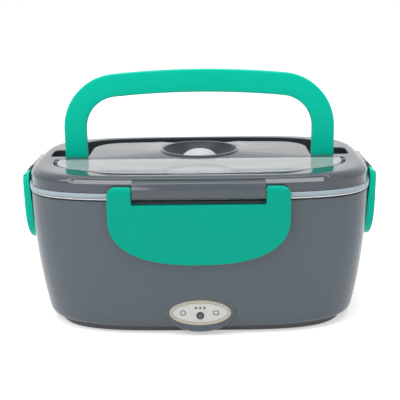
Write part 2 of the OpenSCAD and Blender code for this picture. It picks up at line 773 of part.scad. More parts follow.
module neutral_wire() {
    // From the left inlet pin to the heating element
    color([0.15, 0.25, 0.6]) tube([
        [-inlet_pitch / 2, pin_tail_y - end_gap, inlet_z],
        [-inlet_pitch / 2, pin_tail_y - straight(wire_r), inlet_z],
        [-inlet_pitch / 2, pin_tail_y - lead_in(wire_r), inlet_z],
        [-tab_x / 2, fuse_y + 12, wire_mid_z],
        [-tab_x - 4, fuse_y + 4, wire_low_z],
        [-tab_x - 16, tab_y + 6, wire_mid_z],
        [-tab_x - 14, -tab_y + 9, wire_mid_z + 4],
        [-tab_x - lead_in(wire_r), -tab_y, tab_z],
        [-tab_x - straight(wire_r), -tab_y, tab_z],
        [-tab_x - end_gap, -tab_y, tab_z]], wire_r);
}

board_back = board_y - board_t;

lead_r = 0.6;
lead_x = element_l / 2 - 6;
lead_pitch = board_pitch / 3;
lead_z = element_under + 1;

module lamp_wires() {
    // Two thin leads from the heating element's side to the lamp board
    color([0.75, 0.1, 0.1]) for (i = [-1, 1]) tube([
        [i * lead_pitch / 2, -board_back + end_gap, panel_z - 3],
        [i * lead_pitch / 2, -board_back + straight(lead_r), panel_z - 3],
        [i * lead_pitch / 2, -board_back + lead_in(lead_r), panel_z - 3],
        [i * lead_pitch, -board_back + 16, wire_low_z],
        [i * lead_x, -element_w / 2 - 18, wire_low_z],
        [i * lead_x, -element_w / 2 - 8, lead_z - 3],
        [i * lead_x, -element_w / 2 - lead_in(lead_r), lead_z],
        [i * lead_x, -element_w / 2 - straight(lead_r), lead_z],
        [i * lead_x, -element_w / 2 - end_gap, lead_z]], lead_r);
}

// ---------------------------------------------------------------- lamp panel
face_t = 0.6;
lens_flange_t = 1;
lens_flange = 0.7;
lens_drop = 2;
lens_back = boss_y - plate_t - lens_flange_t;
led_seat = 1.2;
face_gap = 0.1;
window_step = 1.2;
window_hh = panel_h / 2 - panel_rim - window_step;

module lamp_board() {
    color([0.1, 0.4, 0.2]) difference() {
        translate([-board_pitch / 2 - 4, -board_y, panel_z - 6]) cube([board_pitch + 8, board_t, 12]);
        board_places() translate([0, 0, -board_t - 1])
            cylinder(r = board_screw_r + 0.2, h = board_t + 2, $fn = round_fn);
    }
}

module board_screws() {
    color(steel) board_places() translate([0, 0, -board_t]) screw(board_screw_r, board_screw_l, 1.9, 1.3);
}

module lamp_led() {
    color([0.9, 0.9, 0.8]) translate([0, -board_y, panel_z - lens_drop]) rotate([90, 0, 0])
        cylinder(r = led_r, h = lens_back + led_seat - board_y - face_gap, $fn = round_fn);
}

module lamp_lens() {
    color([0.08, 0.08, 0.09]) translate([0, -lens_back, panel_z - lens_drop]) rotate([90, 0, 0]) difference() {
        union() {
            cylinder(r = lens_r, h = lens_flange_t + plate_t + face_t + 0.5, $fn = round_fn);
            cylinder(r = lens_r + lens_flange, h = lens_flange_t, $fn = round_fn);
        }
        translate([0, 0, -1]) cylinder(r = led_r + face_gap, h = led_seat + 1, $fn = round_fn);
    }
}

module panel_frame() {
    color(cream) translate([0, -boss_y, panel_z]) rotate([90, 0, 0]) difference() {
        linear_extrude(panel_out) polygon(outline(panel_w / 2, panel_h / 2, 2));
        translate([0, 0, -1]) linear_extrude(panel_out + 2)
            polygon(outline(panel_w / 2 - panel_rim, panel_h / 2 - panel_rim, 2));
    }
}

module panel_plate() {
    face_hw = panel_w / 2 - panel_rim - face_gap;
    face_hh = panel_h / 2 - panel_rim - face_gap;
    color(pale) translate([0, -boss_y, panel_z]) rotate([90, 0, 0]) difference() {
        union() {
            linear_extrude(face_t) polygon(outline(face_hw, face_hh, 2));
            translate([0, 0, -plate_t]) linear_extrude(plate_t + eps)
                polygon(outline(window_w / 2 - face_gap, window_hh - face_gap, 2));
        }
        translate([0, -lens_drop, -plate_t - 1]) cylinder(r = lens_r + face_gap, h = plate_t + 4, $fn = round_fn);
    }
}

// ---------------------------------------------------------------- food tray
tray_base = liner_base + tray_floor_gap;

module food_tray() {
    color(steel) {
        difference() {
            union() {
                loft([[tray_w / 2 - tray_draft, tray_d / 2 - tray_draft, rim_square, tray_base],
                      [tray_w / 2, tray_d / 2, rim_square, tray_top - eps]]);
                slab(flange_hw - 0.2, flange_hd - 0.2, rim_square, liner_top, tray_top);
            }
            loft([[tray_w / 2 - tray_draft - tray_t, tray_d / 2 - tray_draft - tray_t, rim_square,
                    tray_base + tray_t],
                  [tray_w / 2 - tray_t, tray_d / 2 - tray_t, rim_square, tray_top + eps]]);
        }
        intersection() {
            loft([[tray_w / 2 - tray_draft - tray_t / 2, tray_d / 2 - tray_draft - tray_t / 2, rim_square,
                    tray_base + tray_t / 2],
                  [tray_w / 2 - tray_t / 2, tray_d / 2 - tray_t / 2, rim_square, tray_top]]);
            translate([divider_x, -tray_d / 2, tray_base]) cube([divider_t, tray_d, divider_h]);
        }
    }
}

// ---------------------------------------------------------------- lid
hinge_z = seal_top + pin_up;
pivot_z = lid_top - pivot_drop;
roof = lid_top - lid_t;

// Arch of half width hw: straight legs, corners of radius r and a crown of radius cr, all tangent
corner_steps = 14;
crown_steps = 12;
function arc(cx, cy, r, from, to, steps) = [for (k = [0 : steps])
    let (a = mix(from, to, k / steps)) [cx + r * cos(a), cy + r * sin(a)]];
module arch(hw, top, cr, r, foot) {
    corner_x = hw - r;
    lean = asin(corner_x / (cr - r));
    corner_y = top - cr + (cr - r) * cos(lean);
    polygon(concat([[hw, foot]], arc(corner_x, corner_y, r, 0, 90 - lean, corner_steps),
        [for (k = [1 : crown_steps - 1]) let (a = mix(90 - lean, 90 + lean, k / crown_steps))
            [cr * cos(a), top - cr + cr * sin(a)]],
        arc(-corner_x, corner_y, r, 90 + lean, 180, corner_steps), [[-hw, foot]]));
}
module handle_outside(g, foot) {
    arch(handle_w / 2 + g, handle_rise + g, crown_r + g, corner_r + g, foot);
}
module handle_inside(g, foot) {
    arch(handle_w / 2 - strap_w + g, handle_rise - strap_w + g, crown_r - strap_w + g,
        corner_r - strap_w + g, foot);
}

leg_gap = 0.6;
groove_front = -leg_end_r - leg_gap;
notch_plan = [[-22, -3.4], [22, -3.4], [32, 4], [-32, 4]];

// Plan of the groove that the folded handle lies in, in the handle's own coordinates
module groove_plan(g) {
    difference() {
        handle_outside(groove_gap + g, groove_front - g);
        handle_inside(-groove_gap - g, groove_front - g - 1);
        // Shallow notch in the island, behind the vent, for the fingertips
        translate([0, handle_rise - strap_w - groove_gap - g])
            polygon(notch_plan);
    }
    intersection() {
        handle_outside(groove_gap + g, groove_front - g);
        translate([0, handle_rise - strap_w - groove_gap - g])
            polygon(notch_plan);
    }
    // Finger wells outside the legs
    for (i = [-1, 1]) translate([i * (handle_w / 2 + finger_w / 2), (groove_front + finger_l) / 2])
        round_rect(finger_w + 2 * groove_gap + 2 * g, finger_l - groove_front + 2 * g, 4 + g);
}

groove_floor = pivot_z - strap_t / 2 - 0.4;
pit_floor = pivot_z - leg_end_r - 0.5;
pit_l = 10;

module in_groove() {
    translate([0, pivot_y, 0]) children();
}

module groove_solid() {
    in_groove() {
        translate([0, 0, seal_top]) linear_extrude(roof - seal_top + 0.5) groove_plan(groove_wall);
        translate([0, 0, pit_floor - 1.2]) linear_extrude(seal_top - pit_floor + 2) intersection() {
            groove_plan(groove_wall);
            for (i = [-1, 1]) translate([i * (handle_w - strap_w) / 2, (pit_l + groove_front) / 2])
                square([strap_w + 2 * groove_gap + 2 * groove_wall, pit_l - groove_front + 2 * groove_wall],
                    center = true);
        }
    }
}

module groove_void() {
    in_groove() {
        translate([0, 0, groove_floor]) linear_extrude(lid_h + 5) groove_plan(0);
        translate([0, 0, pit_floor]) linear_extrude(3) intersection() {
            groove_plan(0);
            for (i = [-1, 1]) translate([i * (handle_w - strap_w) / 2, (pit_l + groove_front) / 2])
                square([strap_w + 2 * groove_gap, pit_l - groove_front], center = true);
        }
    }
}

// Plan of the cutlery compartment: the cover's outline grown by g, with g2 more at its ends
module cover_plan(g, g2 = 0) {
    translate([0, cover_back + g]) polygon(half_outline(cover_w / 2 + g + g2, cover_d + 2 * g, cover_square));
}

cover_under = lid_top - cover_t;
ledge_z = cover_under - 0.3;
compartment_floor = ledge_z - compartment_d;
compartment_in = cover_ledge - cover_gap;
cover_axis_y = cover_back - cover_axis_in;
cover_axis_z = cover_under + cover_peg_r;

// Room behind the hinge line for the cover's tail, grown by g
module tail_room(g) {
    low = cover_axis_z - cover_axis_in - 1;
    translate([-cover_w / 2 - cover_gap - g, cover_axis_y - cover_axis_in - g, low - g])
        cube([cover_w + 2 * cover_gap + 2 * g, 2 * cover_axis_in + cover_gap + 2 * g, lid_top - low + 2 * g]);
}

module compartment_solid() {
    translate([0, 0, compartment_floor - compartment_t])
        linear_extrude(roof - compartment_floor + compartment_t + 0.5) cover_plan(compartment_t - compartment_in);
    translate([0, 0, ledge_z - 1.4]) linear_extrude(1.6) cover_plan(cover_gap + compartment_t, cover_end_gap);
    intersection() {
        tail_room(compartment_t);
        translate([-body_w / 2, -body_d, 0]) cube([body_w, body_d, roof + 0.5]);
    }
}

module compartment_void() {
    translate([0, 0, ledge_z]) linear_extrude(lid_h) cover_plan(cover_gap, cover_end_gap);
    translate([0, 0, compartment_floor]) linear_extrude(lid_h + compartment_d) cover_plan(-compartment_in);
    tail_room(0);
    // Sloping finger cut between the cover and the lid's front edge
    front = cover_back - cover_d - cover_gap;
    translate([-front_cut_w, 0, 0]) rotate([90, 0, 90]) linear_extrude(2 * front_cut_w)
        polygon([[front + 3, lid_top + 1], [front + 3, lid_top - front_cut_h], [front - 1, lid_top - front_cut_h],
                 [front - 11, lid_top + 0.05], [front - 11, lid_top + 1]]);
}

bowl_floor = lid_top - bowl_d;
ring_top = lid_top + ring_rise;
inlid_floor_top = tray_top - 1.8;
tube_t = 2;

module vent_bowl() {
    translate([0, vent_y, 0]) rotate_extrude($fn = 96) polygon([
        [steam_r, bowl_floor - bowl_t], [bowl_floor_r + 1, bowl_floor - bowl_t], [ring_r - 1.2, roof - 0.6],
        [ring_r, roof + 0.6], [ring_r, ring_top - 0.5], [ring_r - 0.5, ring_top],
        [ring_r - ring_t, ring_top], [bowl_floor_r, bowl_floor], [steam_r, bowl_floor]]);
    translate([0, vent_y, 0]) rotate_extrude($fn = 96)
        translate([steam_r, inlid_floor_top + 0.1]) square([tube_t, bowl_floor - bowl_t - inlid_floor_top]);
}

// Bar that carries a latch pin, for a flange edge at distance n from the centre
module hinge_bar(n, length) {
    bar_face = n + pin_out + ear_out - 0.2;
    bar_low = seal_top - 0.7;
    difference() {
        translate([-length / 2, 0, 0]) rotate([90, 0, 90]) linear_extrude(length) polygon([
            [n - lid_in - 1.5, seal_top + 0.2], [n + 0.3, seal_top + 0.2], [n + 0.3, bar_low], [bar_face, bar_low],
            [bar_face, hinge_z + 0.8], [bar_face - 0.4, hinge_z + 1.1], [n - lid_in, hinge_z + 3.6],
            [n - lid_in - 1.5, hinge_z + 4]]);
        translate([-length, n + pin_out, hinge_z]) rotate([0, 90, 0])
            cylinder(r = pin_r + 0.02, h = 2 * length, $fn = round_fn);
    }
}

function lid_sections(t, low, high) = [
    [flange_hw - lid_in - t, flange_hd - lid_in - t, rim_square, low],
    [flange_hw - lid_in - 0.3 - t, flange_hd - lid_in - 0.3 - t, rim_square, high - 0.46 * lid_h],
    [flange_hw - lid_in - 1.1 - t, flange_hd - lid_in - 1.1 - t, rim_square, high - 0.24 * lid_h],
    [flange_hw - lid_in - 2.9 - t, flange_hd - lid_in - 2.9 - t, rim_square, high - 0.1 * lid_h],
    [flange_hw - lid_in - shoulder_in - t, flange_hd - lid_in - shoulder_in - t, rim_square, high]];

module shoulder_cut() {
    n = flange_hd - lid_in;
    foot = seal_top + flat_foot;
    rotate([90, 0, 90]) translate([0, 0, -body_w / 2]) linear_extrude(body_w)
        polygon([[n - shoulder_flat, foot + 0.7], [n + 0.1, foot - 0.5], [n + 8, foot - 0.5], [n + 8, lid_top + 5],
                 [n - shoulder_flat, lid_top + 5]]);
}

module lid_shell() {
    color(body_grey) difference() {
        union() {
            difference() {
                loft(lid_sections(0, seal_top, lid_top));
                loft(lid_sections(lid_t, seal_top - 1, roof));
                for (a = [0, 180]) rotate(a) shoulder_cut();
                translate([0, vent_y, roof - 1]) cylinder(r = ring_r - 1, h = lid_t + 3, $fn = 96);
            }
            // Ledge that the inner lid's flange snaps against
            ring_slab(flange_hw - lid_in - 1, flange_hd - lid_in - 1, rim_square, 6, seal_top, seal_top + 1.6);
            groove_solid();
            compartment_solid();
            vent_bowl();
            for (a = [0, 180]) rotate(a) hinge_bar(flange_hd, long_bar_w);
            for (a = [90, 270]) rotate(a) hinge_bar(flange_hw, short_bar_w);
        }
        groove_void();
        compartment_void();
        // Holes for the handle pegs, in the island's side walls
        for (i = [-1, 1]) translate([i * (handle_w / 2 - strap_w), pivot_y, pivot_z]) rotate([0, -90 * i, 0])
            translate([0, 0, -1]) cylinder(r = peg_r + peg_clear, h = peg_l + 1.6, $fn = round_fn);
        // Holes for the cover's hinge pegs
        translate([-cover_w / 2 - cover_peg_l - 0.4, cover_axis_y, cover_axis_z]) rotate([0, 90, 0])
            cylinder(r = cover_peg_r + cover_peg_clear, h = cover_w + 2 * cover_peg_l + 0.8, $fn = round_fn);
    }
    // Bosses round the peg holes, hidden inside the island
    color(body_grey) for (i = [-1, 1]) difference() {
        translate([i * (handle_w / 2 - strap_w - groove_gap - groove_wall + eps), pivot_y, pivot_z])
            rotate([0, -90 * i, 0]) cylinder(r = peg_r + 1.4, h = peg_l - 1, $fn = round_fn);
        translate([i * (handle_w / 2 - strap_w), pivot_y, pivot_z]) rotate([0, -90 * i, 0])
            translate([0, 0, -1]) cylinder(r = peg_r + peg_clear, h = peg_l + 1.6, $fn = round_fn);
    }
}

inlid_hw = tray_w / 2 - tray_t - 1.4;
inlid_hd = tray_d / 2 - tray_t - 1.4;
inlid_t = 1.6;
inlid_floor = inlid_floor_top - inlid_t;
inlid_flange_t = 1.4;

module inner_lid() {
    color([0.92, 0.93, 0.93]) difference() {
        union() {
            loft([[inlid_hw - 1.2, inlid_hd - 1.2, rim_square, inlid_floor],
                  [inlid_hw, inlid_hd, rim_square, seal_top - eps]]);
            slab(flange_hw - seal_w - 0.4, flange_hd - seal_w - 0.4, rim_square,
                seal_top - inlid_flange_t, seal_top);
        }
        loft([[inlid_hw - 1.2 - inlid_t, inlid_hd - 1.2 - inlid_t, rim_square, inlid_floor_top],
              [inlid_hw - inlid_t, inlid_hd - inlid_t, rim_square, seal_top + eps]]);
        translate([0, vent_y, inlid_floor - 1]) cylinder(r = steam_r, h = inlid_t + 2, $fn = round_fn);
    }
}

module lid_seal() {
    color([0.80, 0.86, 0.89, 0.8]) {
        ring_slab(flange_hw, flange_hd, rim_square, seal_w, tray_top, seal_top);
        ring_slab(flange_hw - seal_w + eps, flange_hd - seal_w + eps, rim_square, seal_lip_w,
            tray_top, tray_top + seal_lip_t);
    }
}

module vent_plug() {
    // Spherical dome on a stem that fills the steam hole
    cap = (dome_r * dome_r + dome_h * dome_h) / (2 * dome_h);
    color([0.93, 0.94, 0.95]) translate([0, vent_y, bowl_floor + 0.1]) {
        intersection() {
            translate([0, 0, dome_h - cap]) sphere(r = cap, $fn = 96);
            cylinder(r = dome_r, h = dome_h + 1, $fn = 96);
        }
        translate([0, 0, inlid_floor - bowl_floor - 0.1])
            cylinder(r = steam_r - stem_clear, h = bowl_floor - inlid_floor + 1, $fn = round_fn);
    }
}

module cutlery_cover() {
    color(clear) difference() {
        union() {
            translate([0, 0, cover_under]) linear_extrude(cover_t) cover_plan(0);
            for (i = [-1, 1]) translate([i * (cover_w / 2 - 4), cover_axis_y, cover_axis_z]) rotate([0, 90 * i, 0])
                cylinder(r = cover_peg_r, h = cover_peg_l + 4, $fn = round_fn);
        }
        // Thumb scoop in the front edge
        translate([0, cover_back - cover_d, cover_under + cover_t / 2]) linear_extrude(cover_t)
            polygon(outline(scoop_w, scoop_d, 2));
    }
}

spoon_y = -33;
spoon_z = compartment_floor + 0.3;
bowl_l = 44;
spoon_left = -spoon_l / 2;
neck_w = 6;
neck_t = 1.2;
neck_z = spoon_z + 4.6;
neck_from = spoon_left + bowl_l - 1.5;
neck_l = spoon_l - bowl_l - grip_l + 12;
bowl_t1 = 0.8;
bowl_h = 6;

function oval(a, b, z, n = 32) = [for (i = [0 : n - 1]) [a * cos(360 * i / n), b * sin(360 * i / n), z]];

module oval_loft(sections, n = 32) {
    rows = len(sections);
    pts = [for (s = sections) for (p = oval(s[0], s[1], s[2], n)) p];
    sides = [for (k = [0 : rows - 2]) for (i = [0 : n - 1]) let (p = k * n + i, q = k * n + (i + 1) % n)
        each [[p, p + n, q + n], [p, q + n, q]]];
    polyhedron(points = pts, faces = concat([[for (i = [0 : n - 1]) i]], sides,
        [[for (i = [n - 1 : -1 : 0]) (rows - 1) * n + i]]));
}

module spoon() {
    color(steel) translate([spoon_left + bowl_l / 2, spoon_y, spoon_z]) {
        difference() {
            oval_loft([[bowl_l * 0.22, spoon_w * 0.2, 0], [bowl_l * 0.4, spoon_w * 0.38, 1.6],
                       [bowl_l / 2, spoon_w / 2, bowl_h]]);
            oval_loft([[bowl_l * 0.22 - 0.3, spoon_w * 0.2 - 0.3, 1],
                       [bowl_l * 0.4 - bowl_t1, spoon_w * 0.38 - bowl_t1, 2.6],
                       [bowl_l / 2 - bowl_t1, spoon_w / 2 - bowl_t1, bowl_h + eps]]);
        }
    }
    color(steel) neck();
}

// Flat neck between the spoon's bowl and its grip
module neck() {
    translate([neck_from, spoon_y - neck_w / 2, neck_z]) cube([neck_l, neck_w, neck_t]);
}

module spoon_grip() {
    color(green) difference() {
        translate([spoon_left + spoon_l - grip_l / 2, spoon_y, spoon_z + 2.6]) linear_extrude(grip_t)
            round_rect(grip_l, grip_w, grip_w / 2 - 0.5);
        neck();
    }
}

module handle() {
    color(green) {
        translate([0, pivot_y + strap_t / 2, pivot_z]) rotate([90, 0, 0]) linear_extrude(strap_t) difference() {
            handle_outside(0, 0);
            handle_inside(0, -1);
        }
        for (i = [-1, 1]) translate([i * (handle_w / 2 - strap_w / 2), pivot_y, pivot_z]) rotate([0, 90, 0])
            cylinder(r = leg_end_r, h = strap_w, center = true, $fn = round_fn);
        for (i = [-1, 1]) translate([i * (handle_w / 2 - strap_w + eps), pivot_y, pivot_z]) rotate([0, -90 * i, 0])
            cylinder(r = peg_r, h = peg_l, $fn = round_fn);
    }
}

// ---------------------------------------------------------------- latches
latch_low = hinge_z - latch_drop;
latch_notch_z = tray_top - 3.4;
pocket_top = latch_notch_z - 2.4;
relief_z = catch_z + 1.5;
pocket_low = latch_low + latch_foot_h;
rib_h = 2.4;
rim_w = 2.5;
ear_back = 1.7;
ear_rise = 2;
foot_round = 1.6;

// Outer and inner faces of a latch at height z, for a housing wall that stands at reach
function wall_at(reach, draft, z) = reach - draft * drop(min(z, body_h));
function latch_outer(n, z) = n + pin_out + ear_out - latch_lean * pow((hinge_z - z) / latch_drop, 2);
latch_steps = 12;
function latch_zs(low, high) = [for (k = [0 : latch_steps]) mix(low, high, k / latch_steps)];
function latch_zs_down(low, high) = [for (k = [latch_steps : -1 : 0]) mix(low, high, k / latch_steps)];

// Front view of a latch: a superellipse foot under straight sides
module latch_front_view(hw, g) {
    corner_top = latch_low + latch_corner;
    ear_top = hinge_z + ear_rise;
    foot = [for (p = half_outline(hw - g, latch_corner - g, 2.45)) [p[0], corner_top + p[1]]];
    ears = [for (i = [1, -1]) for (a = i > 0 ? [0 : 15 : 90] : [90 : 15 : 180])
        [i * (hw - g - ear_corner) + ear_corner * cos(a), ear_top - ear_corner + ear_corner * sin(a)]];
    polygon(concat(foot, ears));
}

// Side view of a latch: distance from the centre against height
module latch_side_view(reach, draft, n) {
    pin_x = n + pin_out;
    heel_x = latch_outer(n, latch_low) - foot_round;
    heel_z = latch_low + foot_round;
    polygon(concat(
        [for (a = [-90 : 15 : -15]) [heel_x + foot_round * cos(a), heel_z + foot_round * sin(a)]],
        [for (z = latch_zs(heel_z, hinge_z)) [latch_outer(n, z), z]],
        // Top of the ears, from the outer face to the lid's side
        [[pin_x + ear_out, hinge_z + 0.3], [pin_x + 0.87 * ear_out, hinge_z + 0.85],
         [pin_x + 0.6 * ear_out, hinge_z + 1.25], [pin_x - 1, hinge_z + ear_rise],
         [pin_x - ear_back, hinge_z + ear_rise - 0.1], [pin_x - ear_back, pocket_top]],
        [for (z = latch_zs_down(latch_low, relief_z)) [wall_at(reach, draft, z) + latch_gap, z]]));
}

// Hollow behind the outer skin, above and below the catch rib, and the step in front of the rib
module latch_pocket_view(reach, draft, n) {
    rib_top = catch_z - catch_gap;
    rib_low = rib_top - rib_h;
    inside = wall_at(reach, draft, catch_z) - 2;
    for (span = [[pocket_low, rib_low], [rib_top, pocket_top]])
        polygon(concat(
            [for (z = latch_zs(span[0], span[1])) [latch_outer(n, z) - latch_skin, z]],
            [[inside, span[1]], [inside, span[0]]]));
    translate([inside, rib_low - eps])
        square([2 + catch_out + catch_gap, rib_h + 2 * eps]);
}

module across(width) {
    translate([-width / 2, 0, 0]) rotate([90, 0, 90]) linear_extrude(width) children();
}

module latch(reach, draft, n, width, bar) {
    color(green) difference() {
        intersection() {
            across(width) latch_side_view(reach, draft, n);
            translate([0, n + 20, 0]) rotate([90, 0, 0]) linear_extrude(40) latch_front_view(width / 2, 0);
        }
        // Pocket behind the outer skin, with the catch rib left in it
        intersection() {
            across(width - 2 * rim_w) latch_pocket_view(reach, draft, n);
            translate([0, n + 20, 0]) rotate([90, 0, 0]) linear_extrude(40) latch_front_view(width / 2, rim_w);
        }
        // Notch for the hinge bar
        translate([-bar / 2 - ear_gap, n - 10, latch_notch_z]) cube([bar + 2 * ear_gap, 30, 20]);
        translate([-width, n + pin_out, hinge_z]) rotate([0, 90, 0])
            cylinder(r = pin_r + pin_clear, h = 2 * width, $fn = round_fn);
    }
}

module long_latch() {
    latch(body_d / 2, front_draft, flange_hd, long_latch_w, long_bar_w);
}
module short_latch() {
    latch(body_w / 2, side_draft, flange_hw, short_latch_w, short_bar_w);
}
module front_latch() { rotate(180) long_latch(); }
module back_latch() { long_latch(); }
module left_latch() { rotate(90) short_latch(); }
module right_latch() { rotate(-90) short_latch(); }

module hinge_pin(n, length) {
    translate([-length / 2, n + pin_out, hinge_z]) rotate([0, 90, 0])
        cylinder(r = pin_r, h = length, $fn = round_fn);
}
module long_latch_pins() {
    color(steel) for (a = [0, 180]) rotate(a) hinge_pin(flange_hd, long_latch_w - 2);
}
module short_latch_pins() {
    color(steel) for (a = [90, 270]) rotate(a) hinge_pin(flange_hw, short_latch_w - 2);
}

body_shell();
base_cover();
rubber_feet();
base_screws();
heating_liner();
heating_plate();
plate_screws();
heating_element();
element_clamp();
clamp_screws();
thermostat();
thermal_fuse();
power_inlet();
inlet_pins();
live_wire();
fuse_wire();
neutral_wire();
lamp_wires();
lamp_board();
board_screws();
lamp_led();
lamp_lens();
panel_frame();
panel_plate();
food_tray();
lid_shell();
inner_lid();
lid_seal();
vent_plug();
cutlery_cover();
spoon();
spoon_grip();
handle();
front_latch();
back_latch();
left_latch();
right_latch();
long_latch_pins();
short_latch_pins();
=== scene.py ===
# %% [markdown]
# # Dressing an electric lunch box
# The packed model brings every part at its real place and size. This lesson gives the parts that show a
# finer mesh and a finish: glossy grey and green plastic, a silicone ring, pressed steel and a clear cover.
# Lengths are written in millimetres, as on a drawing, and turned into metres when a mesh is made.

# %% Load the frame
import math
import bmesh
import bpy
from mathutils import Matrix, Vector
from mathutils.geometry import delaunay_2d_cdt


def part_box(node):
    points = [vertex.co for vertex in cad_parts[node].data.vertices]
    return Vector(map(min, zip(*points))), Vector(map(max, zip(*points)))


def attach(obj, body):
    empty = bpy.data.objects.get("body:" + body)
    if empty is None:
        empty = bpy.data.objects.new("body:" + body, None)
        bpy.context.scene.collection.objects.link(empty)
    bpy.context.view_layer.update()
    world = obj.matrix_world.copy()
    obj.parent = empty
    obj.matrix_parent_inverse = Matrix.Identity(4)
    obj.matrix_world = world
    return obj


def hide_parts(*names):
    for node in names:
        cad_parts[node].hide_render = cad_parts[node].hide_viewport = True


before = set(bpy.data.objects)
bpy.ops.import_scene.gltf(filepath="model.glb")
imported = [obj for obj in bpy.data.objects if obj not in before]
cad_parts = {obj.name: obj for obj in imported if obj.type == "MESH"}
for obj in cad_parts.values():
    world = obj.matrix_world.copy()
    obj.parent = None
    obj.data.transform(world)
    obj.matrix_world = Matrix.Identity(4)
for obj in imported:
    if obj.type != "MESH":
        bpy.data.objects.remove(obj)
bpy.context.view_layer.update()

MM = 0.001

# %% [markdown]
# ## Sizes read from the frame
# The frame says where each part lies, so the levels and the outer sizes are read from it and not typed in.
# Seen from above, each wall is a superellipse: an oval that fills its corners more as its power rises.

# %% Read levels and sizes


def low_mm(node):
    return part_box(node)[0] / MM


def high_mm(node):
    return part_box(node)[1] / MM


RIM_W, RIM_D = high_mm("lid_seal").x, high_mm("lid_seal").y
SEAL_LOW, SEAL_TOP = low_mm("lid_seal").z, high_mm("lid_seal").z
LID_TOP = high_mm("cutlery_cover").z
PLINTH_LOW, PLINTH_SHOWS = low_mm("base_cover").z, 4.6
BODY_LOW, BODY_TOP = PLINTH_LOW + PLINTH_SHOWS, high_mm("body_shell").z
SEAL_PROUD = 0.8
BODY_W, BODY_D = RIM_W - SEAL_PROUD, RIM_D - SEAL_PROUD
RIM_SQUARE, BASE_SQUARE, PLINTH_SQUARE = 4.1, 3.3, 3.9
PIN_R, PIN_OUT = 0.9, 2.1
HINGE_Z = high_mm("long_latch_pins").z - PIN_R
PIVOT = Vector((0, -0.5, LID_TOP - 4.9))
print("rim", RIM_W, RIM_D, "lid top", LID_TOP, "hinge", HINGE_Z)

# %% [markdown] ## Outlines Moulded parts are mostly walls that follow a rounded outline.

# %% Outlines


def mix(a, b, t):
    return a + (b - a) * t


def levels(start, end, count):
    """Even steps after start, up to end."""
    return [mix(start, end, k / count) for k in range(1, count + 1)]


def superellipse(a, b, square, count=192):
    points = []
    for i in range(count):
        t = 2 * math.pi * (i + 0.5) / count
        c, s = math.cos(t), math.sin(t)
        points.append(Vector((a * math.copysign(abs(c) ** (2 / square), c),
                              b * math.copysign(abs(s) ** (2 / square), s))))
    return points


def half_oval(a, b, square, count):
    """Half a superellipse, from its left end over its top to its right end."""
    points = []
    for k in range(count + 1):
        t = math.pi * k / count
        c, s = math.cos(t), max(math.sin(t), 0)
        points.append(Vector((-a * math.copysign(abs(c) ** (2 / square), c), b * s ** (2 / square))))
    return points


def oval(a, b, count=96, centre=(0, 0)):
    return [Vector((centre[0] + a * math.cos(2 * math.pi * i / count),
                    centre[1] + b * math.sin(2 * math.pi * i / count))) for i in range(count)]


def circle(r, count=96, centre=(0, 0)):
    return oval(r, r, count, centre)


def offset(points, d):
    """A counter-clockwise outline grown by d, or shrunk where d is negative."""
    out = []
    for i, p in enumerate(points):
        before = (p - points[i - 1]).normalized()
        after = (points[(i + 1) % len(points)] - p).normalized()
        n1, n2 = Vector((before.y, -before.x)), Vector((after.y, -after.x))
        out.append(p + (n1 + n2) * (d / max(0.3, 1 + n1.dot(n2))))
    return out


def rounded(corners, steps=6):
    """An outline through corners (x, y, radius), each corner turned into an arc."""
    out = []
    for i, (x, y, r) in enumerate(corners):
        p = Vector((x, y))
        if r == 0:
            out.append(p)
            continue
        a = (Vector(corners[i - 1][:2]) - p).normalized()
        b = (Vector(corners[(i + 1) % len(corners)][:2]) - p).normalized()
        half = a.angle(b) / 2
        centre = p + (a + b).normalized() * (r / math.sin(half))
        start, end = p + a * (r / math.tan(half)) - centre, p + b * (r / math.tan(half)) - centre
        turn = math.atan2(start.x * end.y - start.y * end.x, start.dot(end))
        for k in range(steps + 1):
            t = turn * k / steps
            out.append(centre + Vector((start.x * math.cos(t) - start.y * math.sin(t),
                                        start.x * math.sin(t) + start.y * math.cos(t))))
    return out


def rectangle(half_x, half_y, r, steps=6, centre=(0, 0)):
    x, y = centre
    return rounded([(x - half_x, y - half_y, r), (x + half_x, y - half_y, r),
                    (x + half_x, y + half_y, r), (x - half_x, y + half_y, r)], steps)


def inside(p, loop):
    hit = False
    for i, a in enumerate(loop):
        b = loop[i - 1]
        if (a.y > p.y) != (b.y > p.y) and p.x < (b.x - a.x) * (p.y - a.y) / (b.y - a.y) + a.x:
            hit = not hit
    return hit


def quarter(r, steps=5):
    """Pairs (inward, down) along a quarter round of radius r, from its flat side to its upright side."""
    return [(r * (1 - math.sin(math.pi / 2 * k / steps)), r * (1 - math.cos(math.pi / 2 * k / steps)))
            for k in range(steps + 1)]


print("rim outline:", len(superellipse(RIM_W, RIM_D, RIM_SQUARE)), "points")

# %% [markdown]
# ## A small mesh kit
# A piece is built from rings of points at a height, skins between rings, and flat floors with holes. A flat
# face that meets a rounded edge gets a narrow rim of its own first: the rim takes up the bend of the
# shading, and the flat stays flat in reflections.

# %% The mesh kit


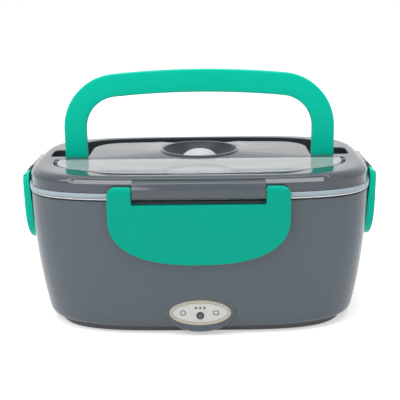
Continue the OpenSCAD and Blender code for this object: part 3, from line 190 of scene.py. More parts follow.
class Maker:
    """Collects vertices and faces in millimetres. place turns a flat point and a height into a vertex."""

    def __init__(self, place=None):
        self.vertices, self.faces = [], []
        self.place = place or (lambda p, h: Vector((p.x, p.y, h)))

    def ring(self, points, height):
        heights = height if callable(height) else (lambda p: height)
        first = len(self.vertices)
        self.vertices += [self.place(p, heights(p)) for p in points]
        return list(range(first, len(self.vertices)))

    def skin(self, a, b):
        for i in range(len(a)):
            j = (i + 1) % len(a)
            self.faces.append((a[i], a[j], b[j], b[i]))

    def loft(self, rings):
        """Skins rings of (points, height). Returns both open edges, each as (vertices, points)."""
        made = [self.ring(points, height) for points, height in rings]
        for a, b in zip(made, made[1:]):
            self.skin(a, b)
        return (made[0], rings[0][0]), (made[-1], rings[-1][0])

    def band(self, rings):
        """A loft that closes on itself."""
        first, last = self.loft(rings)
        self.skin(last[0], first[0])
        return self

    def solid(self, rings):
        """A loft that is capped at both ends."""
        first, last = self.loft(rings)
        self.fill([first], flip=True)
        self.fill([last])
        return self

    def fill(self, edges, flip=False, extra=(), height=0):
        """Closes the area inside the first edge and outside the others. extra are points inside it."""
        flats = [flat for _, flat in edges]
        flat_points = [p for flat in flats for p in flat] + list(extra)
        ids = [i for loop, _ in edges for i in loop]
        ids += self.ring(extra, height) if extra else []
        bounds, base = [], 0
        for flat in flats:
            bounds += [(base + i, base + (i + 1) % len(flat)) for i in range(len(flat))]
            base += len(flat)
        verts, _, faces, origin, _, _ = delaunay_2d_cdt(flat_points, bounds, [], 1, 1e-7)

        def corner(i):
            if not origin[i]:
                print("crossing outline near", verts[i])
                return ids[0]
            return ids[origin[i][0]]

        for face in faces:
            centre = sum((verts[i] for i in face), Vector((0, 0))) / len(face)
            if not inside(centre, flats[0]) or any(inside(centre, flat) for flat in flats[1:]):
                continue
            corners = [corner(i) for i in face]
            self.faces.append(tuple(reversed(corners)) if flip else tuple(corners))

    def add(self, other):
        base = len(self.vertices)
        self.vertices += other.vertices
        self.faces += [tuple(base + i for i in face) for face in other.faces]
        return self

    def turned(self, degrees):
        turn = Matrix.Rotation(math.radians(degrees), 3, "Z")
        self.vertices = [turn @ v for v in self.vertices]
        return self

    def mesh(self, name):
        mesh = bpy.data.meshes.new(name)
        mesh.from_pydata([v * MM for v in self.vertices], [], self.faces)
        return finished(mesh)


def from_mesh(mesh):
    """A maker that holds the vertices and faces of a mesh."""
    maker = Maker()
    maker.vertices = [v.co / MM for v in mesh.vertices]
    maker.faces = [tuple(p.vertices) for p in mesh.polygons]
    return maker


SHARP_ANGLE = 34


def finished(mesh):
    """Merges doubles, turns the faces outwards and marks the real corners as sharp."""
    bm = bmesh.new()
    bm.from_mesh(mesh)
    bmesh.ops.remove_doubles(bm, verts=bm.verts, dist=2e-7)
    bmesh.ops.dissolve_degenerate(bm, edges=bm.edges, dist=1e-8)
    bmesh.ops.recalc_face_normals(bm, faces=bm.faces)
    bm.to_mesh(mesh)
    bm.free()
    mesh.shade_smooth()
    mesh.set_sharp_from_angle(angle=math.radians(SHARP_ANGLE))
    return mesh


print("steps of the mesh kit:", [name for name in vars(Maker) if not name.startswith("_")])

# %% [markdown]
# ## Helpers for shapes that come back
# Much of the box is made of the same few shapes: edges that round over, bars along X, discs that face the
# front, and beads or hinge bars that come once on each of the four sides.

# %% Shapes that come back


def low_edge(shape, low, r, steps=5):
    """Rings that round a lower edge out from the flat to the full shape."""
    return [(offset(shape, -inward), low + down) for inward, down in quarter(r, steps)]


def high_edge(shape, top, r, steps=5):
    """Rings that round an upper edge in from the full shape to the flat."""
    return [(offset(shape, -inward), top - down) for inward, down in reversed(quarter(r, steps))]


def below(height, d):
    return lambda p: height(p) - d


def to_front(x, z):
    """Places flat points in the front view, their height standing out to the front."""
    return lambda p, h: Vector((x + p.x, -h, z + p.y))


def along_x(side=1, x=0, y=0, z=0):
    """Places flat points across X, their height running out along X to one side."""
    return lambda p, h: Vector((side * (x + h), y + p.x, z + p.y))


def prism(profile, half_length, round_end=0.25):
    """A bar along X with profile (outward, height), its ends rounded off."""
    rings = low_edge(profile, -half_length, round_end, 4)
    rings += [(points, -x) for points, x in reversed(rings)]
    return Maker(along_x()).solid(rings)


def lathe(profile, centre=(0, 0), count=96, place=None):
    """Turned solid. The profile runs from the axis out and back to the axis."""
    return Maker(place).solid([(circle(r, count, centre), z) for r, z in profile])


def on_four_sides(target, make, long_side, short_side):
    """Adds a piece to the front and the back, and its shorter kind to both sides."""
    for angle, sizes in ((0, long_side), (180, long_side), (90, short_side), (270, short_side)):
        target.add(make(*sizes).turned(angle))


def placed(name, data):
    thing = bpy.data.objects.new(name, data)
    bpy.context.scene.collection.objects.link(thing)
    return thing


def show(name, maker, body, slot, material, *nodes):
    """One finished piece: it rides on a body, takes a finish and stands for its CAD nodes."""
    mesh = maker.mesh(name)
    piece = placed(name, mesh)
    mesh.materials.append(material)
    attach(piece, body)
    if nodes:
        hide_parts(*nodes)
    uses = {}
    for polygon in mesh.polygons:
        for key in polygon.edge_keys:
            uses[key] = uses.get(key, 0) + 1
    open_edges = sum(1 for count in uses.values() if count != 2)
    print(f"{name}: {len(mesh.polygons)} faces, {open_edges} open edges")
    return piece


def repaint(piece, material, chosen):
    """Gives a second material to the faces whose centre, in millimetres, is chosen."""
    piece.data.materials.append(material)
    for polygon in piece.data.polygons:
        if chosen(polygon.center / MM):
            polygon.material_index = 1


print("a bar 20 mm long has", len(prism(rectangle(2, 2, 0.5), 10).faces), "faces")

# %% [markdown]
# ## Finishes
# All plastics share one recipe: a colour that drifts a little, a faint moulded grain as bump, and a
# roughness that varies as it does on a part that has been handled. Steel, silicone and the clear cover
# change a few steps of it. Grain and drift read Object coordinates, so they stay with a piece that moves.

# %% Steps of a finish


def dial(node, settings):
    for name, value in settings.items():
        node.inputs[name].default_value = value


def wire(tree, *links):
    """Joins sockets. Each link is (node, its output, node, its input)."""
    for source, output, target, given in links:
        tree.links.new(source.outputs[output], target.inputs[given])


def material_base(name):
    mat = bpy.data.materials.new(name)
    mat.use_nodes = True
    tree = mat.node_tree
    return mat, tree, tree.nodes["Principled BSDF"]


def coordinates(tree, scale):
    coord = tree.nodes.new("ShaderNodeTexCoord")
    mapping = tree.nodes.new("ShaderNodeMapping")
    dial(mapping, {"Scale": scale})
    wire(tree, (coord, "Object", mapping, "Vector"))
    return mapping.outputs["Vector"]


def noise(tree, vector, scale, detail=3):
    node = tree.nodes.new("ShaderNodeTexNoise")
    dial(node, {"Scale": scale, "Detail": detail})
    tree.links.new(vector, node.inputs["Vector"])
    return node.outputs["Fac"]


def remap(tree, value, low, high):
    node = tree.nodes.new("ShaderNodeMapRange")
    dial(node, {"From Min": 0.3, "From Max": 0.7, "To Min": low, "To Max": high})
    tree.links.new(value, node.inputs["Value"])
    return node.outputs["Result"]


def drift(tree, value, color, amount):
    """A colour that wanders by amount either side of the one given."""
    node = tree.nodes.new("ShaderNodeMix")
    node.data_type = "RGBA"
    node.inputs[6].default_value = [c * (1 - amount) for c in color] + [1]
    node.inputs[7].default_value = [min(1, c * (1 + amount)) for c in color] + [1]
    tree.links.new(value, node.inputs["Factor"])
    return node.outputs[2]


def bump(tree, value, shader, distance):
    node = tree.nodes.new("ShaderNodeBump")
    dial(node, {"Distance": distance, "Strength": 1.0})
    tree.links.new(value, node.inputs["Height"])
    wire(tree, (node, "Normal", shader, "Normal"))


def surface(name, color, spread, color_scale, rough, rough_scale, stretch=(1, 1, 1), detail=3):
    """A finish whose colour and roughness drift. rough holds its least and its greatest value."""
    mat, tree, shader = material_base(name)
    vector = coordinates(tree, stretch)
    tint = drift(tree, noise(tree, vector, color_scale, detail), color, spread)
    tree.links.new(tint, shader.inputs["Base Color"])
    sheen = remap(tree, noise(tree, vector, rough_scale, detail), *rough)
    tree.links.new(sheen, shader.inputs["Roughness"])
    return mat, tree, shader, vector


def srgb(r, g, b):
    return [(v / 255 / 12.92) if v <= 10 else ((v / 255 + 0.055) / 1.055) ** 2.4 for v in (r, g, b)]


print("mid grey is", [round(v, 3) for v in srgb(128, 128, 128)], "in linear light")

# %% Kinds of finish


def plastic(name, color, rough=0.3, grain=0.00001, spread=0.03, coat=0.0, gloss=0.5):
    mat, tree, shader, vector = surface(name, color, spread, 18, (rough - 0.03, rough + 0.04), 55)
    bump(tree, noise(tree, vector, 1800, 2), shader, grain)
    dial(shader, {"Specular IOR Level": gloss, "Coat Weight": coat, "Coat Roughness": 0.12})
    return mat


def steel(name, color=(0.62, 0.63, 0.64), rough=0.28):
    """Pressed sheet: fine brushing lines run along X."""
    lines, detail = 260, 4
    mat, tree, shader, vector = surface(name, color, 0.08, lines, (rough - 0.06, rough + 0.08), lines,
                                        (1, 14, 14), detail)
    bump(tree, noise(tree, vector, lines, detail), shader, 0.000008)
    dial(shader, {"Metallic": 1})
    return mat


def clear_plastic(name):
    """Thin clear acrylic: mostly see-through, with a slight grey body so that it reads as a sheet."""
    mat, _, shader, _ = surface(name, (0.86, 0.88, 0.89), 0.02, 20, (0.06, 0.12), 70)
    dial(shader, {"Transmission Weight": 0.76, "IOR": 1.49})
    return mat


def silicone(name, color):
    """Soft and matt, and light goes a little way into it."""
    mat, tree, shader, vector = surface(name, color, 0.03, 30, (0.38, 0.5), 80)
    bump(tree, noise(tree, vector, 900, 2), shader, 0.00002)
    dial(shader, {"Subsurface Weight": 0.25, "Subsurface Radius": (0.002, 0.002, 0.0025),
                  "Subsurface Scale": 1.0})
    return mat


grey_plastic = plastic("grey_plastic", srgb(88, 97, 104), 0.24, gloss=0.25)
lid_plastic = plastic("lid_plastic", srgb(57, 67, 75), 0.13, coat=0.3, gloss=0.52)
# painted shade: a darker, rougher copy of the lid plastic for the handle groove and the vent bowl, where
# shade falls
hollow_shade_paint = plastic("hollow_shade_paint", srgb(40, 47, 51), 0.4, gloss=0.3)
green_plastic = plastic("green_plastic", srgb(0, 196, 166), 0.3, gloss=0.08)
latch_plastic = plastic("latch_plastic", srgb(0, 163, 139), 0.24, spread=0.015, gloss=0.07)
plinth_plastic = plastic("plinth_plastic", srgb(66, 68, 72), 0.32)
black_plastic = plastic("black_plastic", srgb(26, 27, 29), 0.45, grain=0.00002)
white_plastic = plastic("white_plastic", srgb(206, 209, 211), 0.3)
lens_plastic = plastic("lens_plastic", srgb(62, 62, 64), 0.12, coat=0.4)
frame_plastic = plastic("frame_plastic", srgb(182, 177, 161), 0.25)
film_plastic = plastic("film_plastic", srgb(205, 203, 200), 0.4)
mark_ink = plastic("mark_ink", srgb(58, 60, 63), 0.5)
ceramic = plastic("ceramic", srgb(214, 210, 198), 0.7, grain=0.00003)
board_resin = plastic("board_resin", srgb(32, 92, 52), 0.35)
foot_rubber = plastic("foot_rubber", srgb(32, 32, 33), 0.7, grain=0.00004)
wire_colors = {"live_wire": srgb(112, 66, 38), "fuse_wire": srgb(220, 220, 216),
               "neutral_wire": srgb(48, 76, 150), "lamp_wires": srgb(170, 32, 30)}
seal_silicone = silicone("seal_silicone", srgb(158, 172, 180))
sheet_steel = steel("sheet_steel")
bright_steel = steel("bright_steel", (0.72, 0.73, 0.74), 0.18)
brass = steel("brass", (0.62, 0.45, 0.18), 0.3)
heat_plate_metal = steel("heat_plate_metal", (0.6, 0.61, 0.62), 0.35)
cover_clear = clear_plastic("cover_clear")
print(len(bpy.data.materials), "finishes in the file")

# %% [markdown]
# ## The housing
# The housing is one moulded tub without a floor: it leans in towards the table, faster near the bottom, and
# ends in a rounded lower edge. A loft through many outlines gives a skin smooth enough for reflections. Its
# extras are beads that catch the latches, an oval boss for the lamp panel and a pad round the power inlet.

# %% Housing
DRAFT_X, DRAFT_Y = 8.8, 6.4
WALL = 2.4
EDGE_H, EDGE_IN, EDGE_STEPS, MOUTH_R = 4.0, 1.7, 8, 0.5


def lean(z):
    return (1 - min(z, BODY_TOP) / BODY_TOP) ** 2


def wall_square(z):
    return RIM_SQUARE - (RIM_SQUARE - BASE_SQUARE) * lean(z)


def side_wall(z):
    return BODY_W - DRAFT_X * lean(z)


def front_wall(z):
    return BODY_D - DRAFT_Y * lean(z)


def wall_outline(z, inset=0.0):
    return superellipse(side_wall(z) - inset, front_wall(z) - inset, wall_square(z))


PLINTH_HW, PLINTH_HD, PLINTH_TOP = side_wall(BODY_LOW) - 7.9, front_wall(BODY_LOW) - 5.1, BODY_LOW + 1.4
PLINTH_GAP = 0.4


def plinth_outline(grow):
    return superellipse(PLINTH_HW + grow, PLINTH_HD + grow, PLINTH_SQUARE)


rings = []
for turn in [0] + levels(0, math.pi / 2, EDGE_STEPS):
    z = BODY_LOW + EDGE_H * (1 - math.cos(turn))
    rings.append((wall_outline(z, EDGE_IN * (1 - math.sin(turn))), z))
rings += [(wall_outline(z), z) for z in levels(BODY_LOW + EDGE_H, BODY_TOP - MOUTH_R, 40)]
rings += [(wall_outline(BODY_TOP, inward), BODY_TOP - down) for inward, down in reversed(quarter(MOUTH_R, 3))]
rings += [(wall_outline(BODY_TOP, WALL), BODY_TOP)]
rings += [(wall_outline(z, WALL), z) for z in levels(BODY_TOP, BODY_LOW + EDGE_H, 12)]
rings += [(plinth_outline(PLINTH_GAP), PLINTH_TOP), (plinth_outline(PLINTH_GAP), BODY_LOW)]
housing = Maker().band(rings)
print("housing wall:", len(rings), "rings, foot", round(side_wall(BODY_LOW), 1), "mm wide")

# %% Boss, catch beads and inlet pad on the housing
PANEL_Z, PANEL_HW, PANEL_HH = 16.6, 20.3, 8.7
BOSS_Y, BOSS_DEEP, BOSS_R = -high_mm("panel_frame").y, 7, 1.6
BOSS_SIDE, BOSS_RISE = 2.8, 5.3
CATCH_Z, CATCH_OUT, CATCH_H, CATCH_IN = 80.5, 1.4, 3.4, 1.2
LONG_BEAD, SHORT_BEAD = 49.8, 25
INLET_Z, INLET_FACE, INLET_DEEP, INLET_R = 19.0, high_mm("power_inlet").y - 1.2, 5.4, 0.8


def boss():
    """A flat oval that faces the front, with a rounded rim."""
    shape = superellipse(PANEL_HW + BOSS_SIDE, PANEL_HH + BOSS_RISE, 2.0, 128)
    rings = [(shape, BOSS_Y - BOSS_DEEP)] + high_edge(shape, BOSS_Y, BOSS_R)
    return Maker(to_front(0, PANEL_Z)).solid(rings + [(offset(shape, -BOSS_R - 0.3), BOSS_Y)])


def bead(reach, half_length):
    profile = rounded([(reach - CATCH_IN, CATCH_Z, 0), (reach + CATCH_OUT, CATCH_Z, 0.4),
                       (reach + CATCH_OUT, CATCH_Z + 1, 0.5), (reach - CATCH_IN, CATCH_Z + CATCH_H, 0)], 4)
    return prism(profile, half_length)


def inlet_pad():
    pad = Maker(lambda p, h: Vector((-p.x, h, INLET_Z + p.y)))
    shape, hole = rectangle(15, 9, 2), rectangle(12.3, 7.3, 0.3)
    rings = [(shape, INLET_FACE - INLET_DEEP), (shape, INLET_FACE - INLET_R)]
    outer = pad.loft(rings + high_edge(shape, INLET_FACE, INLET_R, 4))
    bore = pad.loft([(hole, INLET_FACE), (hole, INLET_FACE - INLET_DEEP)])
    pad.fill([outer[1], bore[0]])
    pad.fill([outer[0], bore[1]], flip=True)
    return pad


housing.add(boss())
on_four_sides(housing, bead, (front_wall(CATCH_Z), LONG_BEAD), (side_wall(CATCH_Z), SHORT_BEAD))
housing.add(inlet_pad())
show("housing_skin", housing, "base", "housing", grey_plastic, "body_shell")

# %% [markdown]
# ## The base cover
# A shallow dish closes the housing from below and shows as a narrow plinth. Its underside has seats for the
# feet, stepped screw holes and ventilation slots. Each hole is a short loft, and both floors are filled
# round the open edges of all holes.

# %% Base cover
PLATE_TOP, PLINTH_WALL, PLINTH_R = PLINTH_LOW + 2.2, 2, 0.7
FOOT_R, FOOT_X, FOOT_Y, SEAT_DEEP = 6, 78, 40, 1.4
SCREW_X, SCREW_Y, HEAD_R, SHANK_R = 58, 51, 3.1, 1.7
SLOT_PITCH, SLOT_Y, SLOT_HW, SLOT_HL = 7.2, 22, 1.2, 8

plinth = Maker()
rings = [(plinth_outline(-PLINTH_R - 0.3), PLINTH_LOW)]
rings += [(plinth_outline(-inward), PLINTH_LOW + down) for inward, down in quarter(PLINTH_R)]
rings += [(plinth_outline(0), PLINTH_TOP), (plinth_outline(-PLINTH_WALL), PLINTH_TOP),
          (plinth_outline(-PLINTH_WALL), PLATE_TOP)]
under_edge, floor_edge = plinth.loft(rings)
under_edges, floor_edges = [under_edge], [floor_edge]
for x, y in ((x, y) for x in (-1, 1) for y in (-1, 1)):
    seat = circle(FOOT_R, 48, (FOOT_X * x, FOOT_Y * y))
    mouth, bed = plinth.loft([(seat, PLINTH_LOW), (seat, PLINTH_LOW + SEAT_DEEP)])
    plinth.fill([bed], flip=True)
    under_edges.append(mouth)
    head, shank = (circle(r, 32, (SCREW_X * x, SCREW_Y * y)) for r in (HEAD_R, SHANK_R))
    mouth, end = plinth.loft([(head, PLINTH_LOW), (head, PLINTH_LOW + SEAT_DEEP),
                              (shank, PLINTH_LOW + SEAT_DEEP), (shank, PLATE_TOP)])
    under_edges.append(mouth)
    floor_edges.append(end)
for x, y in (((k - 3) * SLOT_PITCH, y) for k in range(7) for y in (-SLOT_Y, SLOT_Y)):
    slot_plan = rectangle(SLOT_HW, SLOT_HL, SLOT_HW - 0.01, 6, (x, y))
    mouth, end = plinth.loft([(slot_plan, PLINTH_LOW), (slot_plan, PLATE_TOP)])
    under_edges.append(mouth)
    floor_edges.append(end)
plinth.fill(under_edges, flip=True)
plinth.fill(floor_edges)
show("plinth_skin", plinth, "base", "black_plastic", plinth_plastic, "base_cover")

# %% [markdown]
# ## Cups: the heating liner, the tray and the inner lid
# All three are cups with a flange, so one function makes them: an outer wall, a floor with a rounded corner,
# an inner wall and the flange. The tray is pressed sheet, so its corners are soft inside and outside.

# %% Cups


def cup(half, draft, floor_z, top_z, thick, flange, flange_low, flange_top, corner, floor_hole=None):
    """half is (x, y) at top_z, less draft at floor_z. The flange stands out to its own half size."""
    low, mouth_z, steps = floor_z + thick, flange_top - 1.1, 7

    def at(size, inset):
        return superellipse(size[0] - inset, size[1] - inset, RIM_SQUARE)

    def wall(z, inset=0.0):
        return at(half, inset + draft * (top_z - z) / (top_z - floor_z))

    rings = [(wall(floor_z, corner + 4), floor_z)]
    rings += [(wall(floor_z + down, inward), floor_z + down) for inward, down in quarter(corner, steps)]
    rings += [(wall(z), z) for z in levels(floor_z + corner, flange_low, 10)]
    lip = (flange_top - flange_low) / 2
    rings += [(at(flange, lip), flange_low)]
    rings += [(at(flange, lip * (1 - math.sin(a))), (flange_low + flange_top) / 2 - lip * math.cos(a))
              for a in (0.4, 0.9, 1.57, 2.2, 2.75)]
    rings += [(at(flange, lip), flange_top), (wall(top_z, thick - 1.2), flange_top),
              (wall(top_z, thick - 0.4), flange_top - 0.3), (wall(top_z, thick), mouth_z)]
    rings += [(wall(z, thick), z) for z in levels(mouth_z, low + corner, 10)]
    rings += [(wall(low + down, thick + inward), low + down)
              for inward, down in reversed(quarter(corner, steps))]
    rings += [(wall(low, thick + corner + 4), low)]
    if not floor_hole:
        return Maker().solid(rings)
    maker = Maker()
    first, last = maker.loft(rings)
    bore = maker.loft([(floor_hole, low), (floor_hole, floor_z)])
    maker.fill([last, bore[0]])
    maker.fill([first, bore[1]], flip=True)
    return maker


TRAY_LOW, TRAY_TOP = low_mm("food_tray").z, high_mm("food_tray").z
LINER_LOW, LINER_TOP = low_mm("heating_liner").z, high_mm("heating_liner").z
LINER_HALF, LINER_T, LINER_CORNER, LINER_IN, CUP_DRAFT = (105.4, 65.9), 1.6, 1.5, 0.4, 7.5
plate_window = rectangle(54.3, 32.3, 14.3)
liner = cup(LINER_HALF, CUP_DRAFT, LINER_LOW, LINER_TOP, LINER_T, (BODY_W - LINER_IN, BODY_D - LINER_IN),
            BODY_TOP, LINER_TOP, LINER_CORNER, plate_window)
show("liner_skin", liner, "base", "black_plastic", black_plastic, "heating_liner")

# %% Tray with its divider
TRAY_HALF, TRAY_SHEET, TRAY_CORNER, TRAY_IN = (102.6, 63.1), 1.0, 5, 0.2
DIVIDER_X, DIVIDER_T, DIVIDER_H = 28.0, 1.6, 42.0
DIVIDER_FOOT, DIVIDER_HEAD = 56.0, 60.4


def divider():
    """A standing sheet across the tray, wider at its head because the tray's walls lean out."""
    low, high = TRAY_LOW + 0.6, TRAY_LOW + DIVIDER_H
    shape = rounded([(-DIVIDER_FOOT, low, 4), (DIVIDER_FOOT, low, 4),
                     (DIVIDER_HEAD, high, 3), (-DIVIDER_HEAD, high, 3)])
    rings = low_edge(shape, DIVIDER_X, DIVIDER_T / 2, 4)
    rings += [(points, 2 * DIVIDER_X + DIVIDER_T - x) for points, x in reversed(rings)]
    return Maker(along_x()).solid(rings)


tray = cup(TRAY_HALF, CUP_DRAFT, TRAY_LOW, TRAY_TOP, TRAY_SHEET, (RIM_W - TRAY_IN, RIM_D - TRAY_IN),
           LINER_TOP, TRAY_TOP, TRAY_CORNER)
show("tray_skin", tray.add(divider()), "tray", "stainless", sheet_steel, "food_tray")

# %% Inner lid
VENT, STEAM_R = Vector((0, 14.5)), 4.0
INNER_HALF, INNER_DRAFT, INNER_LOW = (100.2, 60.7), 1.2, low_mm("inner_lid").z
INNER_T, INNER_IN, FLANGE_T, INNER_CORNER = 1.6, 6.5, 1.4, 1.4
inner = cup(INNER_HALF, INNER_DRAFT, INNER_LOW, SEAL_TOP, INNER_T, (RIM_W - INNER_IN, RIM_D - INNER_IN),
            SEAL_TOP - FLANGE_T, SEAL_TOP, INNER_CORNER, circle(STEAM_R, 48, VENT))
show("inner_lid_skin", inner, "lid", "white_plastic", white_plastic, "inner_lid")

# %% [markdown]
# ## The sealing ring
# A soft band with a slightly bulging outer face, and a thin lip that reaches over the tray's flange. Its
# section is a short list of points (inset, height), carried once round the rim.

# %% Sealing ring
SEAL_H = SEAL_TOP - SEAL_LOW
SEAL_DEEP, LIP_DEEP = 6.1, 11.0
section = [(1.2, 0.0), (0.35, 0.12), (0.1, 0.5), (0.0, 1.1), (0.0, SEAL_H - 1.1), (0.1, SEAL_H - 0.5),
           (0.35, SEAL_H - 0.12), (1.2, SEAL_H), (SEAL_DEEP, SEAL_H), (SEAL_DEEP, 1.7), (LIP_DEEP - 0.4, 1.6),
           (LIP_DEEP, 1.2), (LIP_DEEP, 0.4), (LIP_DEEP - 0.4, 0.0)]
seal = Maker().band([(superellipse(RIM_W - inset, RIM_D - inset, RIM_SQUARE), SEAL_LOW + up)
                     for inset, up in section])
show("sealing_ring", seal, "lid", "silicone", seal_silicone, "lid_seal")

# %% [markdown]
# ## The lid
# Seen from above, the lid is a flat top with three hollows: the U-shaped groove that takes the folded
# handle, the cutlery recess, and the round vent bowl. Each hollow starts from an outline in the flat top,
# rounds over its edge and goes down to a floor. The outer skin rounds over a broad shoulder, with a
# slanting ledge at the front and the back that catches the light as a pale streak.

# %% Outlines of the groove and the recess
HANDLE_HW, STRAP_W, HANDLE_RISE = 94.4, 15.6, 64.8
CROWN_R, CORNER_R = 620.0, 38.0
GROOVE_GAP, GROOVE_FLOOR, GROOVE_END = 0.8, 99.3, 4.0
FINGER_X, FINGER_Y = 105.2, 19.5
NOTCH_X, NOTCH_DEEP = 33, 3.4
COVER_HW, COVER_D, COVER_SQUARE = 97, 39.5, 3.3
COVER_BACK, COVER_GAP, COVER_END, COVER_LEDGE = -15.0, 0.5, 2.4, 3.0


def arch(grow, side_in=0.0, steps=16, crown_steps=40):
    """Right half of an arch, from its leg to the middle of its crown, grown and drawn in by side_in."""
    hw, r, cr = HANDLE_HW - side_in + grow, CORNER_R - side_in + grow, CROWN_R - side_in + grow
    top = HANDLE_RISE - side_in + grow
    tilt = math.asin((hw - r) / (cr - r))
    cy = top - cr + (cr - r) * math.cos(tilt)
    bend = math.pi / 2 - tilt
    points = [Vector((hw - r + r * math.cos(a), cy + r * math.sin(a))) for a in [0] + levels(0, bend, steps)]
    points += [Vector((cr * math.cos(a), top - cr + cr * math.sin(a)))
               for a in levels(bend, math.pi / 2, crown_steps)]
    return points


def mirrored(points):
    """The same points on the left, in the other order."""
    return [Vector((-p.x, p.y)) for p in reversed(points)]


def groove_outline():
    """The folded handle's arch with a gap, finger hollows at both legs and a thumb notch at the back."""
    shift = Vector((0, PIVOT.y))
    outer = [p + shift for p in arch(GROOVE_GAP)]
    inner = [p + shift for p in arch(-GROOVE_GAP, STRAP_W)]
    leg_x, inner_x = HANDLE_HW + GROOVE_GAP, HANDLE_HW - STRAP_W - GROOVE_GAP
    front, past_corner = PIVOT.y - GROOVE_END, 40
    corners = [(inner_x, front, 1.2), (FINGER_X, front, 4), (FINGER_X, FINGER_Y, 5), (leg_x, FINGER_Y, 1.5)]
    path = rounded(corners + [(leg_x, past_corner, 0), (inner_x, past_corner, 0)])[:-2]
    notch_y = inner[-1].y - NOTCH_DEEP
    kept = [p for p in inner if p.x > NOTCH_X]
    notch = rounded([(NOTCH_X, kept[-1].y, 0), (NOTCH_X - 4, notch_y + 4.2, 5), (NOTCH_X - 11, notch_y, 5),
                     (0, notch_y, 0)])[1:-1]
    right_in = list(reversed(kept + notch))
    return path + outer + mirrored(outer)[1:] + mirrored(path) + mirrored(right_in) + right_in


def cover_outline(grow, more=0.0):
    """The cover's D shape, its straight edge at the back, counter-clockwise from the back left corner."""
    bow = half_oval(COVER_HW + grow + more, COVER_D + 2 * grow, COVER_SQUARE, 96)
    return [Vector((p.x, COVER_BACK + grow - p.y)) for p in bow]


groove, recess = groove_outline(), cover_outline(COVER_GAP, COVER_END)
print("groove:", len(groove), "points, recess:", len(recess), "points")

# %% Outer skin of the lid
SKIRT_IN, LID_IN, SHOULDER_IN, SHOULDER_H, TOP_RIM = 1.05, 1.2, 6.0, 4.6, 0.25
SHOULDER_Z = LID_TOP - SHOULDER_H
LEDGE_LOW, LEDGE_HIGH, LEDGE_X, LEDGE_FADE = SEAL_TOP + 6.1, SEAL_TOP + 8.2, 79.0, 9.0
EDGE_R = 0.7


def outer_lid(z, inset):
    """Lid outline. A slanting ledge sets it back at the front and back, and fades out to the corners."""
    cut = min(LEDGE_HIGH, max(LEDGE_LOW, z)) - LEDGE_LOW
    points = superellipse(RIM_W - inset, RIM_D - inset, RIM_SQUARE)
    widest = superellipse(RIM_W - 1.3, RIM_D - 1.3, RIM_SQUARE)
    line = []
    for p, base in zip(points, widest):
        limit = abs(base.y) - cut + 1.2 * max(0, abs(base.x) - LEDGE_X) ** 2 / LEDGE_FADE
        line.append(Vector((p.x, math.copysign(min(abs(p.y), limit), p.y) if cut else p.y)))
    return line


lid = Maker()
foot_ring = (outer_lid(SEAL_TOP, SKIRT_IN + 0.35), SEAL_TOP)
rings = [foot_ring, (outer_lid(SEAL_TOP, SKIRT_IN), SEAL_TOP + 0.3)]
heights = levels(SEAL_TOP + 0.3, SHOULDER_Z, 8)
heights += [SHOULDER_Z + SHOULDER_H * math.sin(a) for a in levels(0, math.pi / 2, 20)]
heights += [LEDGE_LOW, LEDGE_LOW + 0.12, LEDGE_HIGH - 0.12, LEDGE_HIGH]
for z in sorted(heights):
    rise = min(1, max(0, (z - SHOULDER_Z) / SHOULDER_H))
    lower = mix(SKIRT_IN, LID_IN, min(1, (z - SEAL_TOP) / (SHOULDER_Z - SEAL_TOP)))
    rings.append((outer_lid(z, lower + SHOULDER_IN * (1 - math.sqrt(1 - rise ** 2))), z))
rings.append((outer_lid(LID_TOP, LID_IN + SHOULDER_IN + TOP_RIM), LID_TOP))
top_edges = [lid.loft(rings)[1]]
print("lid skin:", len(rings), "rings up to", LID_TOP)

# %% Handle groove
groove_rings = [(offset(groove, EDGE_R + 0.25), LID_TOP)]
groove_rings += [(offset(groove, inward), LID_TOP - down) for inward, down in quarter(EDGE_R)]
groove_rings += [(groove, GROOVE_FLOOR + 1), (offset(groove, -0.3), GROOVE_FLOOR + 0.3),
                 (offset(groove, -1), GROOVE_FLOOR)]
mouth, bed = lid.loft(groove_rings)
lid.fill([bed])
top_edges.append(mouth)
print("groove:", round(LID_TOP - GROOVE_FLOOR, 1), "mm deep")

# %% [markdown]
# ## The cutlery recess
# The clear cover lies on a ledge in this recess, over a well for the spoon. At the front the lid dips a
# little, so that a thumb reaches the cover's edge: there the recess's outline is drawn out to the lid's
# front, and the steps between both outlines make the slope.

# %% Cutlery recess
LEDGE_Z = LID_TOP - 2.3
POCKET_FLOOR = LEDGE_Z - 11
DIP_Y, DIP_X, DIP_FADE, DIP_H = -66.0, 79.0, 24.0, 2.2
FRONT_HALF = -30
WELL_X, WELL_Y, WELL_BACK = 97.5, -19.8, COVER_BACK + 0.4


def dip_share(x):
    t = min(1, max(0, (DIP_X - abs(x)) / DIP_FADE))
    return t * t * (3 - 2 * t)


def recess_height(p):
    return LID_TOP - 0.35 - (DIP_H - 0.4) * (dip_share(p.x) if p.y < FRONT_HALF else 0)


def slope(share):
    return lambda p: mix(LID_TOP - 0.15, recess_height(p), share)


dipped = [p + Vector((0, (DIP_Y - p.y) * dip_share(p.x))) if p.y < FRONT_HALF else p for p in recess]
recess_rings = [(offset(dipped, 0.25), LID_TOP), (offset(dipped, 0.08), LID_TOP - 0.03),
                (offset(dipped, -0.1), LID_TOP - 0.12)]
recess_rings += [([a.lerp(b, share) for a, b in zip(dipped, recess)], slope(share))
                 for share in (0.35, 0.7, 1.0)]
recess_mouth, ledge_edge = lid.loft(recess_rings + [(recess, LEDGE_Z)])
top_edges.append(recess_mouth)
well = [Vector((-WELL_X, WELL_BACK)), Vector((-WELL_X, WELL_Y))]
well += [p for p in cover_outline(COVER_GAP - COVER_LEDGE) if p.y < WELL_Y]
well += [Vector((WELL_X, WELL_Y)), Vector((WELL_X, WELL_BACK))]
mouth, bed = lid.loft([(well, LEDGE_Z), (well, POCKET_FLOOR + 1.2), (offset(well, -0.4), POCKET_FLOOR + 0.35),
                       (offset(well, -1.2), POCKET_FLOOR)])
lid.fill([ledge_edge, mouth])
lid.fill([bed])
